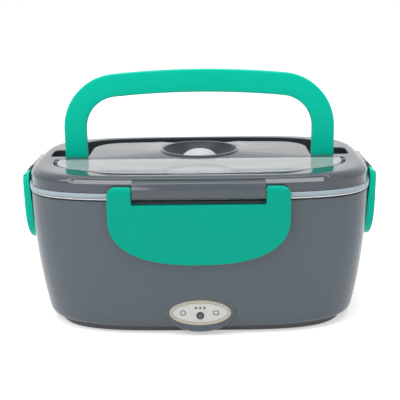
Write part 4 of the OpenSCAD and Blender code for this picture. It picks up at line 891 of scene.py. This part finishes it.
print("well:", round(LID_TOP - POCKET_FLOOR, 1), "mm deep")

# %% [markdown]
# ## Vent bowl, underside and hinge bars
# A low ring stands round a bowl that leads steam to a hole. With its edge in the list, the flat top can be
# filled round all hollows at once. The underside is closed inside the inner lid's cup, and bars with a
# slanting top carry the latches' pins.

# %% Vent bowl and flat top
RING_R, RING_T, BOWL_R = 28.2, 1.7, 16.2
RING_TOP, BOWL_FLOOR = LID_TOP + 1.5, LID_TOP - 6.5
RING_IN = RING_R - RING_T
INNER_FLOOR = INNER_LOW + INNER_T + 0.05
bowl = [(RING_R + 0.2, LID_TOP), (RING_R + 0.05, LID_TOP + 0.08), (RING_R, LID_TOP + 0.3),
        (RING_R, RING_TOP - 0.55), (RING_R - 0.15, RING_TOP - 0.15), (RING_R - 0.5, RING_TOP),
        (RING_IN + 0.4, RING_TOP), (RING_IN, RING_TOP - 0.15), (RING_IN - 0.25, RING_TOP - 0.55)]
bowl += [(mix(RING_IN, BOWL_R, across), mix(RING_TOP, BOWL_FLOOR, down))
         for across, down in ((0.18, 0.3), (0.4, 0.6), (0.7, 0.86))]
bowl += [(BOWL_R + 0.8, BOWL_FLOOR + 0.25), (BOWL_R, BOWL_FLOOR + 0.08), (BOWL_R - 1, BOWL_FLOOR),
         (STEAM_R + 0.4, BOWL_FLOOR), (STEAM_R, BOWL_FLOOR - 0.4), (STEAM_R, INNER_FLOOR)]
bowl_mouth, steam_hole = lid.loft([(circle(r, 128, VENT), z) for r, z in bowl])
lid.fill(top_edges + [bowl_mouth])
print("flat top filled between", len(top_edges) + 1, "edges")

# %% Underside and hinge bars
BAR_PROFILE = [(-4.6, 0.2, 0), (0.4, 0.2, 0), (0.4, -2.1, 0.35), (3.85, -2.1, 0.4), (3.85, 3.5, 0.7),
               (0.8, 7.2, 1.6), (-4.6, 8.5, 0)]
LONG_BAR, SHORT_BAR = 42.0, 19.5


def nested(grow, z):
    """Ring on the inner lid's foot outline, grown."""
    return superellipse(INNER_HALF[0] + grow, INNER_HALF[1] + grow, RIM_SQUARE), z


def hinge_bar(n, half_length):
    return prism(rounded([(n + out, SEAL_TOP + up, r) for out, up, r in BAR_PROFILE], 5), half_length)


# picks the faces in the vent bowl and down in the handle groove, which take the painted shade
def in_shaded_hollow(centre):
    flat = Vector((centre.x, centre.y))
    if (flat - VENT).length < RING_IN and centre.z > BOWL_FLOOR - 0.5:
        return True
    return GROOVE_FLOOR - 0.5 < centre.z < LID_TOP - EDGE_R and inside(flat, groove_edge)


under = [foot_ring, nested(6.9, SEAL_TOP), nested(-1.9, SEAL_TOP + 0.02), nested(-2.8, INNER_FLOOR)]
lid.fill([lid.loft(under)[1], steam_hole], flip=True)
on_four_sides(lid, hinge_bar, (RIM_D, LONG_BAR), (RIM_W, SHORT_BAR))
groove_edge = offset(groove, 0.3)
# the lid's hollows get the painted shade as a second material
repaint(show("lid_skin", lid, "lid", "housing", lid_plastic, "lid_shell"), hollow_shade_paint, in_shaded_hollow)

# %% [markdown]
# ## The vent plug
# The plug is a turned shape, so it is drawn as half a section and spun: a stem that fits the steam hole and
# a flat-bottomed dome. The dome's height falls with the cube of the radius, which gives it a full shoulder.

# %% Plug
DOME_R, DOME_H, STEM_R = 14.2, 7.0, 3.8
plug_low, stem_low = BOWL_FLOOR + 0.1, low_mm("vent_plug").z
profile = [(STEM_R - 0.4, stem_low), (STEM_R, stem_low + 0.4), (STEM_R, plug_low), (DOME_R - 0.6, plug_low),
           (DOME_R - 0.1, plug_low + 0.15)]
for k in range(1, 24):
    r = (DOME_R - 0.1) * (1 - k / 24) ** 0.7
    profile.append((r, plug_low + 0.2 + (DOME_H - 0.2) * (1 - (r / DOME_R) ** 3)))
show("plug_skin", lathe(profile, VENT), "vent_plug", "white_plastic", white_plastic, "vent_plug")

# %% [markdown]
# ## The clear cover
# The cover is a sheet that follows the recess, with a thumb scoop pressed into its front edge and a round
# peg at each back corner. Its top rolls down at the front, so the flat is filled with extra points there.

# %% Clear cover
COVER_LOW, COVER_R = low_mm("cutlery_cover").z, 0.5
ROLL_H, ROLL_L = 1.3, 6.5
SCOOP_W, SCOOP_D = 23.0, 20.0
PEG_R, PEG_LEN, PEG_X = 0.8, 8.4, 95
plan = cover_outline(0)
front_y = min(p.y for p in plan)


def scoop_outline(share):
    """Half oval that opens at the cover's front edge, drawn in by share."""
    a, b = SCOOP_W * share, SCOOP_D * share
    return [Vector((a * math.cos(t), front_y + 1.1 + b * math.sin(t))) for t in [0] + levels(0, math.pi, 40)]


def cover_top(p):
    """The flat top rolls down towards the front edge, where the lid is dipped for it."""
    if p.y > FRONT_HALF:
        return LID_TOP
    bow = (1 - min(1, abs(p.x) / COVER_HW) ** COVER_SQUARE) ** (1 / COVER_SQUARE)
    from_front = p.y - (COVER_BACK - COVER_D * bow)
    return LID_TOP - ROLL_H * max(0, 1 - from_front / ROLL_L) ** 2 * dip_share(p.x)


cover = Maker()
rings = [(offset(plan, -COVER_R - 0.3), COVER_LOW)] + low_edge(plan, COVER_LOW, COVER_R, 3)
for inward, down in list(reversed(quarter(COVER_R, 3))) + [(COVER_R + 0.3, 0)]:
    rings.append((offset(plan, -inward), below(cover_top, down)))
under_edge, sheet_edge = cover.loft(rings)
cover.fill([under_edge], flip=True)
SCOOP_STEPS = ((1.0, 0.0), (0.985, 0.06), (0.93, 0.45), (0.86, 0.8), (0.78, 0.95), (0.7, 1.0))
mouth, bed = cover.loft([(scoop_outline(share), below(cover_top, down)) for share, down in SCOOP_STEPS])
ROLL_ROWS = (-53.2, -52.1, -50.9, -49.7, -48.4, -47)
spots = [Vector((x * 2.2, y)) for x in range(-40, 41) for y in ROLL_ROWS]
sheet, scoop, dent = offset(plan, -1.3), offset(mouth[1], 0.5), offset(bed[1], -0.5)
cover.fill([sheet_edge, mouth], extra=[p for p in spots if inside(p, sheet) and not inside(p, scoop)],
           height=cover_top)
cover.fill([bed], extra=[p for p in spots if inside(p, dent)], height=below(cover_top, SCOOP_STEPS[-1][1]))
peg = [(PEG_R - 0.2, 0), (PEG_R, 0.2), (PEG_R, PEG_LEN - 0.2), (PEG_R - 0.2, PEG_LEN)]
for side in (-1, 1):
    place = along_x(side, PEG_X - 1.8, COVER_BACK - 2.4, COVER_LOW + 0.8)
    cover.add(lathe(peg, count=24, place=place))
show("cover_skin", cover, "cutlery_cover", "clear_plastic", cover_clear, "cutlery_cover")

# %% [markdown]
# ## The spoon
# The bowl is lofted from ovals that widen on their way up, once outside and once inside. The steel stem is
# a slim bar, and the grip a rounded slab of the same green plastic as the handle.

# %% Spoon
SPOON_Y, SPOON_Z, SHEET = -33.0, low_mm("spoon").z, 0.7
BOWL_L, BOWL_W, BOWL_DEEP = 22.0, 15.0, 6
BOWL_X = low_mm("spoon").x + BOWL_L
STEM_START, STEM_END, STEM_HW = BOWL_X + 20.5, BOWL_X + 52, 3


def spoon_ring(t, inset):
    """Oval of the bowl at a share t of the way out, on the outside or drawn in by the sheet."""
    a, b = ((half - inset) * math.sin(math.pi / 2 * t) for half in (BOWL_L, BOWL_W))
    rise = (BOWL_DEEP - inset) * (1 - math.cos(math.pi / 2 * t))
    return oval(a, b, 48, (BOWL_X, SPOON_Y)), SPOON_Z + inset + rise


shares = levels(0, 1, 12)
spoon = Maker().solid([spoon_ring(t, 0) for t in shares] + [spoon_ring(t, SHEET) for t in reversed(shares)])
stem = rectangle((STEM_END - STEM_START) / 2, STEM_HW, 0.8, 6, ((STEM_START + STEM_END) / 2, SPOON_Y))
stem_rings = [(offset(stem, -0.4), 4.6), (stem, 5.0), (stem, 5.4), (offset(stem, -0.4), 5.8)]
spoon.add(Maker().solid([(points, SPOON_Z + up) for points, up in stem_rings]))
show("spoon_skin", spoon, "lid", "stainless", bright_steel, "spoon")

# %% Grip of the spoon
GRIP_R, GRIP_TAPER = 1.6, 1.5
grip_low, grip_high = low_mm("spoon_grip"), high_mm("spoon_grip")
grip = rounded([(grip_low.x, grip_low.y + GRIP_TAPER, 4), (grip_high.x, grip_low.y, 6.2),
                (grip_high.x, grip_high.y, 6.2), (grip_low.x, grip_high.y - GRIP_TAPER, 4)], 8)
grip_maker = Maker().solid(low_edge(grip, grip_low.z, GRIP_R) + high_edge(grip, grip_high.z, GRIP_R))
show("grip_skin", grip_maker, "lid", "green_plastic", green_plastic, "spoon_grip")

# %% [markdown]
# ## The handle, swept by Geometry Nodes
# The handle is a flat strap of one section bent along an arch, which is just what Curve to Mesh does. The
# section is a rectangle with filleted corners. The path lies flat while it is swept, so that the section
# can't twist, and is then turned upright onto the pivots.

# %% Build and run a node tree
FLOAT, MATERIAL = "NodeSocketFloat", "NodeSocketMaterial"


def node_tree(name, *inputs):
    """A tree with a geometry input and output, and its own inputs as (label, kind, value)."""
    tree = bpy.data.node_groups.new(name, "GeometryNodeTree")
    tree.interface.new_socket("Geometry", in_out="INPUT", socket_type="NodeSocketGeometry")
    for label, kind, value in inputs:
        socket = tree.interface.new_socket(label, in_out="INPUT", socket_type=kind)
        if value is not None:
            socket.default_value = value
    tree.interface.new_socket("Geometry", in_out="OUTPUT", socket_type="NodeSocketGeometry")
    return tree, tree.nodes.new("NodeGroupInput"), tree.nodes.new("NodeGroupOutput")


def new_nodes(tree, *kinds):
    return [tree.nodes.new(kind) for kind in kinds]


def run_tree(source, tree, values):
    """Runs a tree on an object and gives back its result as a plain mesh."""
    modifier = source.modifiers.new("shape", "NODES")
    modifier.node_group = tree
    for item in tree.interface.items_tree:
        if item.in_out == "INPUT" and item.name in values:
            modifier[item.identifier] = values[item.name]
    bpy.context.view_layer.update()
    graph = bpy.context.evaluated_depsgraph_get()
    mesh = bpy.data.meshes.new_from_object(source.evaluated_get(graph))
    source.modifiers.remove(modifier)
    bpy.data.objects.remove(source)
    return mesh


def strap_tree():
    """Sweeps a rectangle with rounded corners along a curve."""
    tree, given, result = node_tree(
        "strap", ("Width", FLOAT, 0.0156), ("Thickness", FLOAT, 0.006), ("Edge", FLOAT, 0.001),
        ("Material", MATERIAL, None))
    section, fillet, sweep, paint = new_nodes(
        tree, "GeometryNodeCurvePrimitiveQuadrilateral", "GeometryNodeFilletCurve",
        "GeometryNodeCurveToMesh", "GeometryNodeSetMaterial")
    fillet.mode = "POLY"
    dial(fillet, {"Count": 6})
    dial(sweep, {"Fill Caps": True})
    wire(tree, (given, "Width", section, "Width"), (given, "Thickness", section, "Height"),
         (section, "Curve", fillet, "Curve"), (given, "Edge", fillet, "Radius"),
         (given, "Geometry", sweep, "Curve"), (fillet, "Curve", sweep, "Profile Curve"),
         (sweep, "Mesh", paint, "Geometry"), (given, "Material", paint, "Material"),
         (paint, "Geometry", result, "Geometry"))
    return tree


strap_nodes = strap_tree()
print("strap tree:", [item.name for item in strap_nodes.interface.items_tree])

# %% Handle
STRAP_T, STRAP_EDGE = 6.0, 1.1
BARREL_R, PIVOT_R, PIVOT_OUT = 3.4, 2.0, 4.5


def strap_path():
    half = arch(0, STRAP_W / 2, 24, 40)
    points = [Vector((half[0].x, y)) for y in (0.0, 4.0, 10.0, 20.0)] + half
    points += mirrored(points)[1:]
    data = bpy.data.curves.new("strap_path", "CURVE")
    data.dimensions = "3D"
    data.twist_mode = "Z_UP"
    spline = data.splines.new("POLY")
    spline.points.add(len(points) - 1)
    for point, p in zip(spline.points, points):
        point.co = (p.x * MM, p.y * MM, 0, 1)
    return placed("strap_path", data)


strap = run_tree(strap_path(), strap_nodes, {"Width": STRAP_W * MM, "Thickness": STRAP_T * MM,
                                             "Edge": STRAP_EDGE * MM, "Material": green_plastic})
strap.transform(Matrix.Translation(PIVOT * MM) @ Matrix.Rotation(math.pi / 2, 4, "X"))
handle = from_mesh(strap)
end = STRAP_W / 2
barrel = [(BARREL_R - 1, -end), (BARREL_R - 0.3, 0.3 - end), (BARREL_R, 1 - end), (BARREL_R, end - 1),
          (BARREL_R - 0.3, end - 0.3), (BARREL_R - 1, end)]
pin = [(PIVOT_R - 0.4, -end - PIVOT_OUT), (PIVOT_R, 0.4 - end - PIVOT_OUT), (PIVOT_R, 1 - end),
       (PIVOT_R - 0.4, 1.2 - end)]
for side in (-1, 1):
    for profile in (barrel, pin):
        handle.add(lathe(profile, count=48, place=along_x(side, HANDLE_HW - end, PIVOT.y, PIVOT.z)))
show("handle_skin", handle, "handle", "green_plastic", green_plastic, "handle")

# %% [markdown]
# ## The latches
# A latch is a plate that hangs from two ears. Its outline is drawn in the front view, and functions say how
# far each point stands out: the outer face depends on the height alone, and the back follows the curve of
# the wall. The back is hollow, with a rib that catches under the bead.

# %% Depths of a latch
EAR_OUT, EAR_BACK, EAR_FLAT, EAR_SLOPE, EAR_H = 2.0, 1.7, 0.9, 1.9, 2.45
LATCH_DROP, LATCH_CORNER, LATCH_LEAN = 49.0, 31.5, 1.2
LATCH_LOW = HINGE_Z - LATCH_DROP
CORNER_TOP = LATCH_LOW + LATCH_CORNER
FOOT_H, FOOT_SQUARE, LATCH_GAP, LATCH_SKIN, LATCH_RIM = 7.0, 2.45, 0.5, 2.0, 2.5
EAR_LOW = TRAY_TOP - 3.4
HOLLOW_TOP, RELIEF_Z = EAR_LOW - 2.4, CATCH_Z + 1.5


def latch_depths(wall, n, across_half):
    """Depths at a point of the front view: the outer face, the back, and the hollow in the back."""
    pin = n + PIN_OUT

    def outer(p):
        lean_in = LATCH_LEAN * (max(0, HINGE_Z - p.y) / LATCH_DROP) ** 2
        return pin + EAR_OUT - lean_in - EAR_SLOPE * max(0, p.y - HINGE_Z - EAR_FLAT)

    def back(p):
        """The wall falls back to the sides, and the latch follows it up to the relief for the bar."""
        square, across = wall_square(p.y), min(0.95, abs(p.x) / across_half)
        curve = 0.8 * n * (1 - (1 - across ** square) ** (1 / square))
        if p.y <= RELIEF_Z:
            return wall(p.y) + LATCH_GAP - curve
        share = min(1, (p.y - RELIEF_Z) / (HOLLOW_TOP - RELIEF_Z))
        return mix(wall(RELIEF_Z) + LATCH_GAP - curve, pin - EAR_BACK - 0.5 * curve, share)

    def hollow(p):
        return max(outer(p) - LATCH_SKIN, back(p) + 0.05)

    return outer, back, hollow


print("a latch hangs from", round(HINGE_Z, 1), "to", round(LATCH_LOW, 1))

# %% Outlines of a latch


def dense(points, step):
    """The same open line with points no further apart than step."""
    out = [points[0]]
    for a, b in zip(points, points[1:]):
        parts = max(1, math.ceil((b - a).length / step))
        out += [a.lerp(b, k / parts) for k in range(1, parts + 1)]
    return out


def latch_bow(half_w, drop, count):
    """The rounded foot of an outline, in the front view."""
    return [Vector((p.x, CORNER_TOP - p.y)) for p in half_oval(half_w, drop, FOOT_SQUARE, count)]


def latch_outline(half_w, bar_half):
    """A rounded foot below, and above it two ears with the slot for the hinge bar between them."""
    top, slot = HINGE_Z + EAR_H, bar_half + 0.5
    ears = rounded([(half_w, CORNER_TOP, 0), (half_w, top, 5.5), (slot, top, 1.15), (slot, EAR_LOW, 1.0),
                    (-slot, EAR_LOW, 1.0), (-slot, top, 1.15), (-half_w, top, 5.5),
                    (-half_w, CORNER_TOP, 0)], 8)
    return latch_bow(half_w, LATCH_CORNER, 64) + dense(ears[1:-1], 2.0)


def hollow_outline(half_w):
    half = half_w - LATCH_RIM - 1
    upper = rounded([(half, CORNER_TOP, 0), (half, HOLLOW_TOP, 2), (-half, HOLLOW_TOP, 2),
                     (-half, CORNER_TOP, 0)])[1:-1]
    return latch_bow(half, LATCH_CORNER - FOOT_H, 48) + dense(upper, 3.0)


def spots_inside(loop, step_x, step_z, margin):
    """A grid of points inside a loop, so that a curved face has vertices to bend at."""
    low_x, high_x = min(p.x for p in loop), max(p.x for p in loop)
    low_z, high_z = min(p.y for p in loop), max(p.y for p in loop)
    close = offset(loop, -margin)
    grid = [Vector((low_x + j * step_x, low_z + i * step_z))
            for i in range(1, int((high_z - low_z) / step_z))
            for j in range(1, int((high_x - low_x) / step_x))]
    return [p for p in grid if inside(p, close)]


LONG_LATCH, SHORT_LATCH = 57.8, 33.0
print("long latch outline:", len(latch_outline(LONG_LATCH, LONG_BAR)), "points")

# %% Four latches
LATCH_R, SPOT_X, SPOT_Z = 0.75, 3.1, (LATCH_DROP + 0.9) / 38
RIB_LOW, RIB_TOP, RIB_GAP = CATCH_Z - 2.7, CATCH_Z - 0.3, 0.3
PIP_Z, PIP_SPOTS = 89.1, (-32.0, 32.0)
PIP_STEPS = ((0.8, -0.3), (0.8, -0.05), (0.6, 0.03), (0.25, 0.05))


def latch(wall, n, across_half, half_w, bar_half, pips):
    outer, back, hollow = latch_depths(wall, n, across_half)
    shape, pocket = latch_outline(half_w, bar_half), hollow_outline(half_w)
    plate = Maker(lambda p, h: Vector((-p.x, h, p.y)))
    rings = [(offset(shape, -LATCH_R - 0.3), outer)]
    rings += [(offset(shape, -inward), below(outer, down)) for inward, down in quarter(LATCH_R)]
    face, rear = plate.loft(rings + [(shape, back)])
    plate.fill([face], extra=spots_inside(face[1], SPOT_X, SPOT_Z, 0.5), height=outer)
    mouth, bed = plate.loft([(pocket, back), (offset(pocket, -0.3), hollow)])
    rim_spots = [p for p in spots_inside(shape, 6, 1.6, 0.4) if not inside(p, offset(pocket, 0.4))]
    plate.fill([rear, mouth], flip=True, extra=rim_spots, height=back)
    plate.fill([bed], flip=True, extra=spots_inside(bed[1], 4, 1.6, 0.4), height=hollow)
    for x in pips:
        stands = outer(Vector((x, PIP_Z)))
        plate.add(Maker(plate.place).solid([(circle(r, 16, (x, PIP_Z)), stands + up) for r, up in PIP_STEPS]))
    rib_in, rib_out = wall(CATCH_Z) + CATCH_OUT + RIB_GAP, outer(Vector((0, RIB_LOW))) - 1
    rib = rounded([(rib_in, RIB_LOW, 0.4), (rib_out, RIB_LOW, 0), (rib_out, RIB_TOP, 0),
                   (rib_in, RIB_TOP, 0.4)], 3)
    return plate.add(prism(rib, half_w - LATCH_RIM - 0.6, 0.2))


long_latch = (front_wall, RIM_D, RIM_W, LONG_LATCH, LONG_BAR, PIP_SPOTS)
short_latch = (side_wall, RIM_W, RIM_D, SHORT_LATCH, SHORT_BAR, ())
# the side latches are the same plastic as the front and back ones, but take the lighter handle green as
# painted light that lifts the shade on their faces
for name, angle, kind, tone in (("front_latch", 180, long_latch, latch_plastic),
                                ("back_latch", 0, long_latch, latch_plastic),
                                ("left_latch", 90, short_latch, green_plastic),
                                ("right_latch", 270, short_latch, green_plastic)):
    show(name + "_skin", latch(*kind).turned(angle), name, "green_plastic", tone, name)

# %% [markdown]
# ## The lamp panel
# An oval frame stands on the boss. Inside it lies a pale film with a dark lamp lens. Frame and film are
# short lofts that face the front, and the lens is turned, with a black ring round its glossy middle.

# %% Frame, film and lens
FRAME_OUT, FRAME_W = 1.2, 2.0
FILM, HOLE_R, LENS_DROP = BOSS_Y + 0.6, 2.6, 2
LENS_R, LENS_CLEAR = 2.5, 1.8
oval_shape = superellipse(PANEL_HW, PANEL_HH, 2.0, 128)
section = [(0.0, 0.0), (0.0, 0.5), (0.25, 0.95), (0.8, FRAME_OUT), (1.2, FRAME_OUT), (FRAME_W - 0.25, 0.95),
           (FRAME_W, 0.5), (FRAME_W, 0.0)]
frame_ring = Maker(to_front(0, PANEL_Z)).band([(offset(oval_shape, -inset), BOSS_Y + up)
                                               for inset, up in section])
show("panel_frame_skin", frame_ring, "base", "panel_cream", frame_plastic, "panel_frame")

film = Maker(to_front(0, PANEL_Z))
film_steps = ((0.05, BOSS_Y), (0.05, FILM - 0.15), (0.25, FILM), (0.6, FILM))
film_edges = film.loft([(offset(oval_shape, -FRAME_W - inset), y) for inset, y in film_steps])
hole = circle(HOLE_R, 48, (0, -LENS_DROP))
hole_edges = film.loft([(hole, FILM), (hole, BOSS_Y)])
film.fill([film_edges[1], hole_edges[0]])
film.fill([film_edges[0], hole_edges[1]], flip=True)
show("panel_film", film, "base", "panel_grey", film_plastic, "panel_plate")

LENS_Z = PANEL_Z - LENS_DROP
profile = [(1.0, BOSS_Y - 1), (LENS_R, BOSS_Y - 1), (LENS_R, FILM + 0.2), (LENS_R - 0.3, FILM + 0.45),
           (LENS_CLEAR, FILM + 0.5), (0.4, FILM + 0.5)]
lens = show("lens_skin", lathe(profile, count=48, place=to_front(0, LENS_Z)), "base", "lens_dark",
            lens_plastic, "lamp_lens")
repaint(lens, black_plastic, lambda c: math.hypot(c.x, c.z - LENS_Z) > LENS_CLEAR)

# %% [markdown]
# ## Plain marks on the panel
# Plain marks stand in for print: a ring on one side, a small box on the other and a row of dots above the
# lens. A row repeats one bit at an even pitch, so Geometry Nodes put instances on a mesh line.

# %% Marks
RING_X, MARK_R = 11.3, 1.9
BOX_X, BOX_HW, BOX_HH = 10.4, 2, 1.5
MARK_Y, INK_W = FILM + 0.03, 0.5
INK_LOW, INK_TOP = FILM - 0.02, MARK_Y + 0.06
DOTS, DOT_PITCH, DOT_SIZE, DOT_DEEP, DOT_RISE = 3, 2.8, 1.3, 0.12, 3.4


def mark_tree():
    """Small blocks in a row."""
    tree, given, result = node_tree(
        "mark_row", ("Count", "NodeSocketInt", 3), ("Pitch", FLOAT, 0.0012), ("Length", FLOAT, 0.003),
        ("Width", FLOAT, 0.0005), ("Depth", FLOAT, 0.00012), ("Material", MATERIAL, None))
    row, step, size, block, spread, real, paint = new_nodes(
        tree, "GeometryNodeMeshLine", "ShaderNodeCombineXYZ", "ShaderNodeCombineXYZ", "GeometryNodeMeshCube",
        "GeometryNodeInstanceOnPoints", "GeometryNodeRealizeInstances", "GeometryNodeSetMaterial")
    row.mode = "OFFSET"
    wire(tree, (given, "Count", row, "Count"), (given, "Pitch", step, "X"), (step, "Vector", row, "Offset"),
         (given, "Width", size, "X"), (given, "Depth", size, "Y"), (given, "Length", size, "Z"),
         (size, "Vector", block, "Size"), (row, "Mesh", spread, "Points"),
         (block, "Mesh", spread, "Instance"), (spread, "Instances", real, "Geometry"),
         (real, "Geometry", paint, "Geometry"), (given, "Material", paint, "Material"),
         (paint, "Geometry", result, "Geometry"))
    return tree


def mark_line(x, outer, inner):
    """A printed line between two outlines, a little proud of the film."""
    return Maker(to_front(x, PANEL_Z)).band([(outer, INK_LOW), (outer, INK_TOP), (inner, INK_TOP),
                                             (inner, INK_LOW)])


dots = run_tree(placed("dots", bpy.data.meshes.new("dots")), mark_tree(), {
    "Count": DOTS, "Pitch": DOT_PITCH * MM, "Length": DOT_SIZE * MM, "Width": DOT_SIZE * MM,
    "Depth": DOT_DEEP * MM, "Material": mark_ink})
dots.transform(Matrix.Translation(Vector((-DOT_PITCH * (DOTS - 1) / 2, -MARK_Y, PANEL_Z + DOT_RISE)) * MM))
marks = from_mesh(dots)
marks.add(mark_line(-RING_X, circle(MARK_R, 40), circle(MARK_R - INK_W, 40)))
box = rectangle(BOX_HW, BOX_HH, 0.7, 4)
marks.add(mark_line(BOX_X, box, offset(box, -INK_W)))
show("panel_marks", marks, "base", "black_plastic", mark_ink)

# %% [markdown]
# ## Finishes on the parts that keep their CAD shape
# Screws, pins, the heater and the wiring already have the right shape. They only get a finish, and each
# wire gets a sleeve of its own colour.

# %% Finish the other parts
kept = {black_plastic: ("power_inlet", "thermostat"), foot_rubber: ("rubber_feet",),
        bright_steel: ("base_screws", "plate_screws", "clamp_screws", "board_screws", "thermal_fuse",
                       "element_clamp"),
        lid_plastic: ("long_latch_pins", "short_latch_pins"), heat_plate_metal: ("heating_plate",),
        ceramic: ("heating_element",), brass: ("inlet_pins",), board_resin: ("lamp_board",),
        cover_clear: ("lamp_led",)}
for node, color in wire_colors.items():
    kept[plastic(node + "_sleeve", color, 0.4)] = (node,)
for mat, nodes in kept.items():
    for node in nodes:
        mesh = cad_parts[node].data
        mesh.materials.clear()
        mesh.materials.append(mat)
print(sum(len(nodes) for nodes in kept.values()), "CAD parts finished")

# %% [markdown]
# ## Floor and surround
# A pale floor and a white surround, as in a product photo. Both are bright to the camera and in
# reflections, and dimmer as a light, so colours come out about as written: a Light Path node tells which
# kind of ray asks.

# %% Floor and surround
FLOOR_HALF, FLOOR_WHITE, FLOOR_GLOW, WORLD_LIGHT = 6.0, 0.92, 0.45, 0.62


def math_node(tree, operation, a, b):
    """a and b are sockets, or b is a number."""
    node = tree.nodes.new("ShaderNodeMath")
    node.operation = operation
    tree.links.new(a, node.inputs[0])
    if isinstance(b, float):
        node.inputs[1].default_value = b
    else:
        tree.links.new(b, node.inputs[1])
    return node.outputs[0]


def seen_by(tree, kinds):
    """1 for rays of these kinds, else 0."""
    path = tree.nodes.new("ShaderNodeLightPath")
    answer = path.outputs[kinds[0]]
    for kind in kinds[1:]:
        answer = math_node(tree, "MAXIMUM", answer, path.outputs[kind])
    return answer


floor_mesh = bpy.data.meshes.new("floor")
floor_mesh.from_pydata([(x * FLOOR_HALF, y * FLOOR_HALF, 0) for x, y in ((-1, -1), (1, -1), (1, 1), (-1, 1))],
                       [], [(0, 1, 2, 3)])
floor_mat, floor_tree, floor_shader = material_base("floor_paint")
dial(floor_shader, {"Base Color": (FLOOR_WHITE, FLOOR_WHITE, FLOOR_WHITE, 1), "Roughness": 0.9})
glow, both = new_nodes(floor_tree, "ShaderNodeEmission", "ShaderNodeAddShader")
seen = seen_by(floor_tree, ("Is Camera Ray", "Is Glossy Ray"))
floor_tree.links.new(math_node(floor_tree, "MULTIPLY", seen, FLOOR_GLOW), glow.inputs["Strength"])
wire(floor_tree, (floor_shader, 0, both, 0), (glow, 0, both, 1),
     (both, 0, floor_tree.nodes["Material Output"], "Surface"))
floor_mesh.materials.append(floor_mat)
placed("floor", floor_mesh)

world = bpy.data.worlds.new("surround")
bpy.context.scene.world = world
world.use_nodes = True
background = world.node_tree.nodes["Background"]
level = world.node_tree.nodes.new("ShaderNodeMapRange")
dial(level, {"To Min": WORLD_LIGHT, "To Max": 1.0})
dial(background, {"Color": (1, 1, 1, 1)})
seen = seen_by(world.node_tree, ("Is Camera Ray", "Is Glossy Ray", "Is Transmission Ray"))
world.node_tree.links.new(seen, level.inputs["Value"])
wire(world.node_tree, (level, "Result", background, "Strength"))
print("floor and world:", floor_mat.name, world.name)

# %% [markdown]
# ## Lights and camera
# A soft key light from the left, a weak fill from the right, and a long softbox overhead that lights the
# lid. The camera's height, tilt and lens are chosen so that the edges lie where the photo shows them.

# %% Lights and camera
AWAY, HEIGHT, DOWN, ROLL, AROUND = 0.6134, 0.2322, 14.438, 0.71, 0.6


def softbox(name, place, target, size, power):
    light = bpy.data.lights.new(name, "AREA")
    light.shape = "RECTANGLE"
    light.size, light.size_y = size
    light.energy = power
    lamp = placed(name, light)
    lamp.location = place
    lamp.rotation_mode = "QUATERNION"
    lamp.rotation_quaternion = (Vector(target) - Vector(place)).to_track_quat("-Z", "Y")


softbox("key", (-0.8, -0.7, 1.2), (0, 0, 0.08), (0.8, 0.8), 7)
softbox("fill", (0.9, -0.8, 0.7), (0, 0, 0.08), (0.8, 0.8), 0.8)
softbox("top", (0, -0.2, 1.4), (0, 0, 0.1), (1.3, 0.55), 10)

camera = placed("camera", bpy.data.cameras.new("camera"))
camera.data.lens = 79.46
camera.data.clip_start = 0.01
camera.matrix_world = (
    Matrix.Rotation(math.radians(AROUND), 4, "Z") @ Matrix.Translation((0, -AWAY, HEIGHT))
    @ Matrix.Rotation(math.radians(90 - DOWN), 4, "X") @ Matrix.Rotation(math.radians(-ROLL), 4, "Z"))
bpy.context.scene.camera = camera
bpy.context.scene.view_settings.view_transform = "Standard"
print("camera at", [round(v, 3) for v in camera.matrix_world.translation])
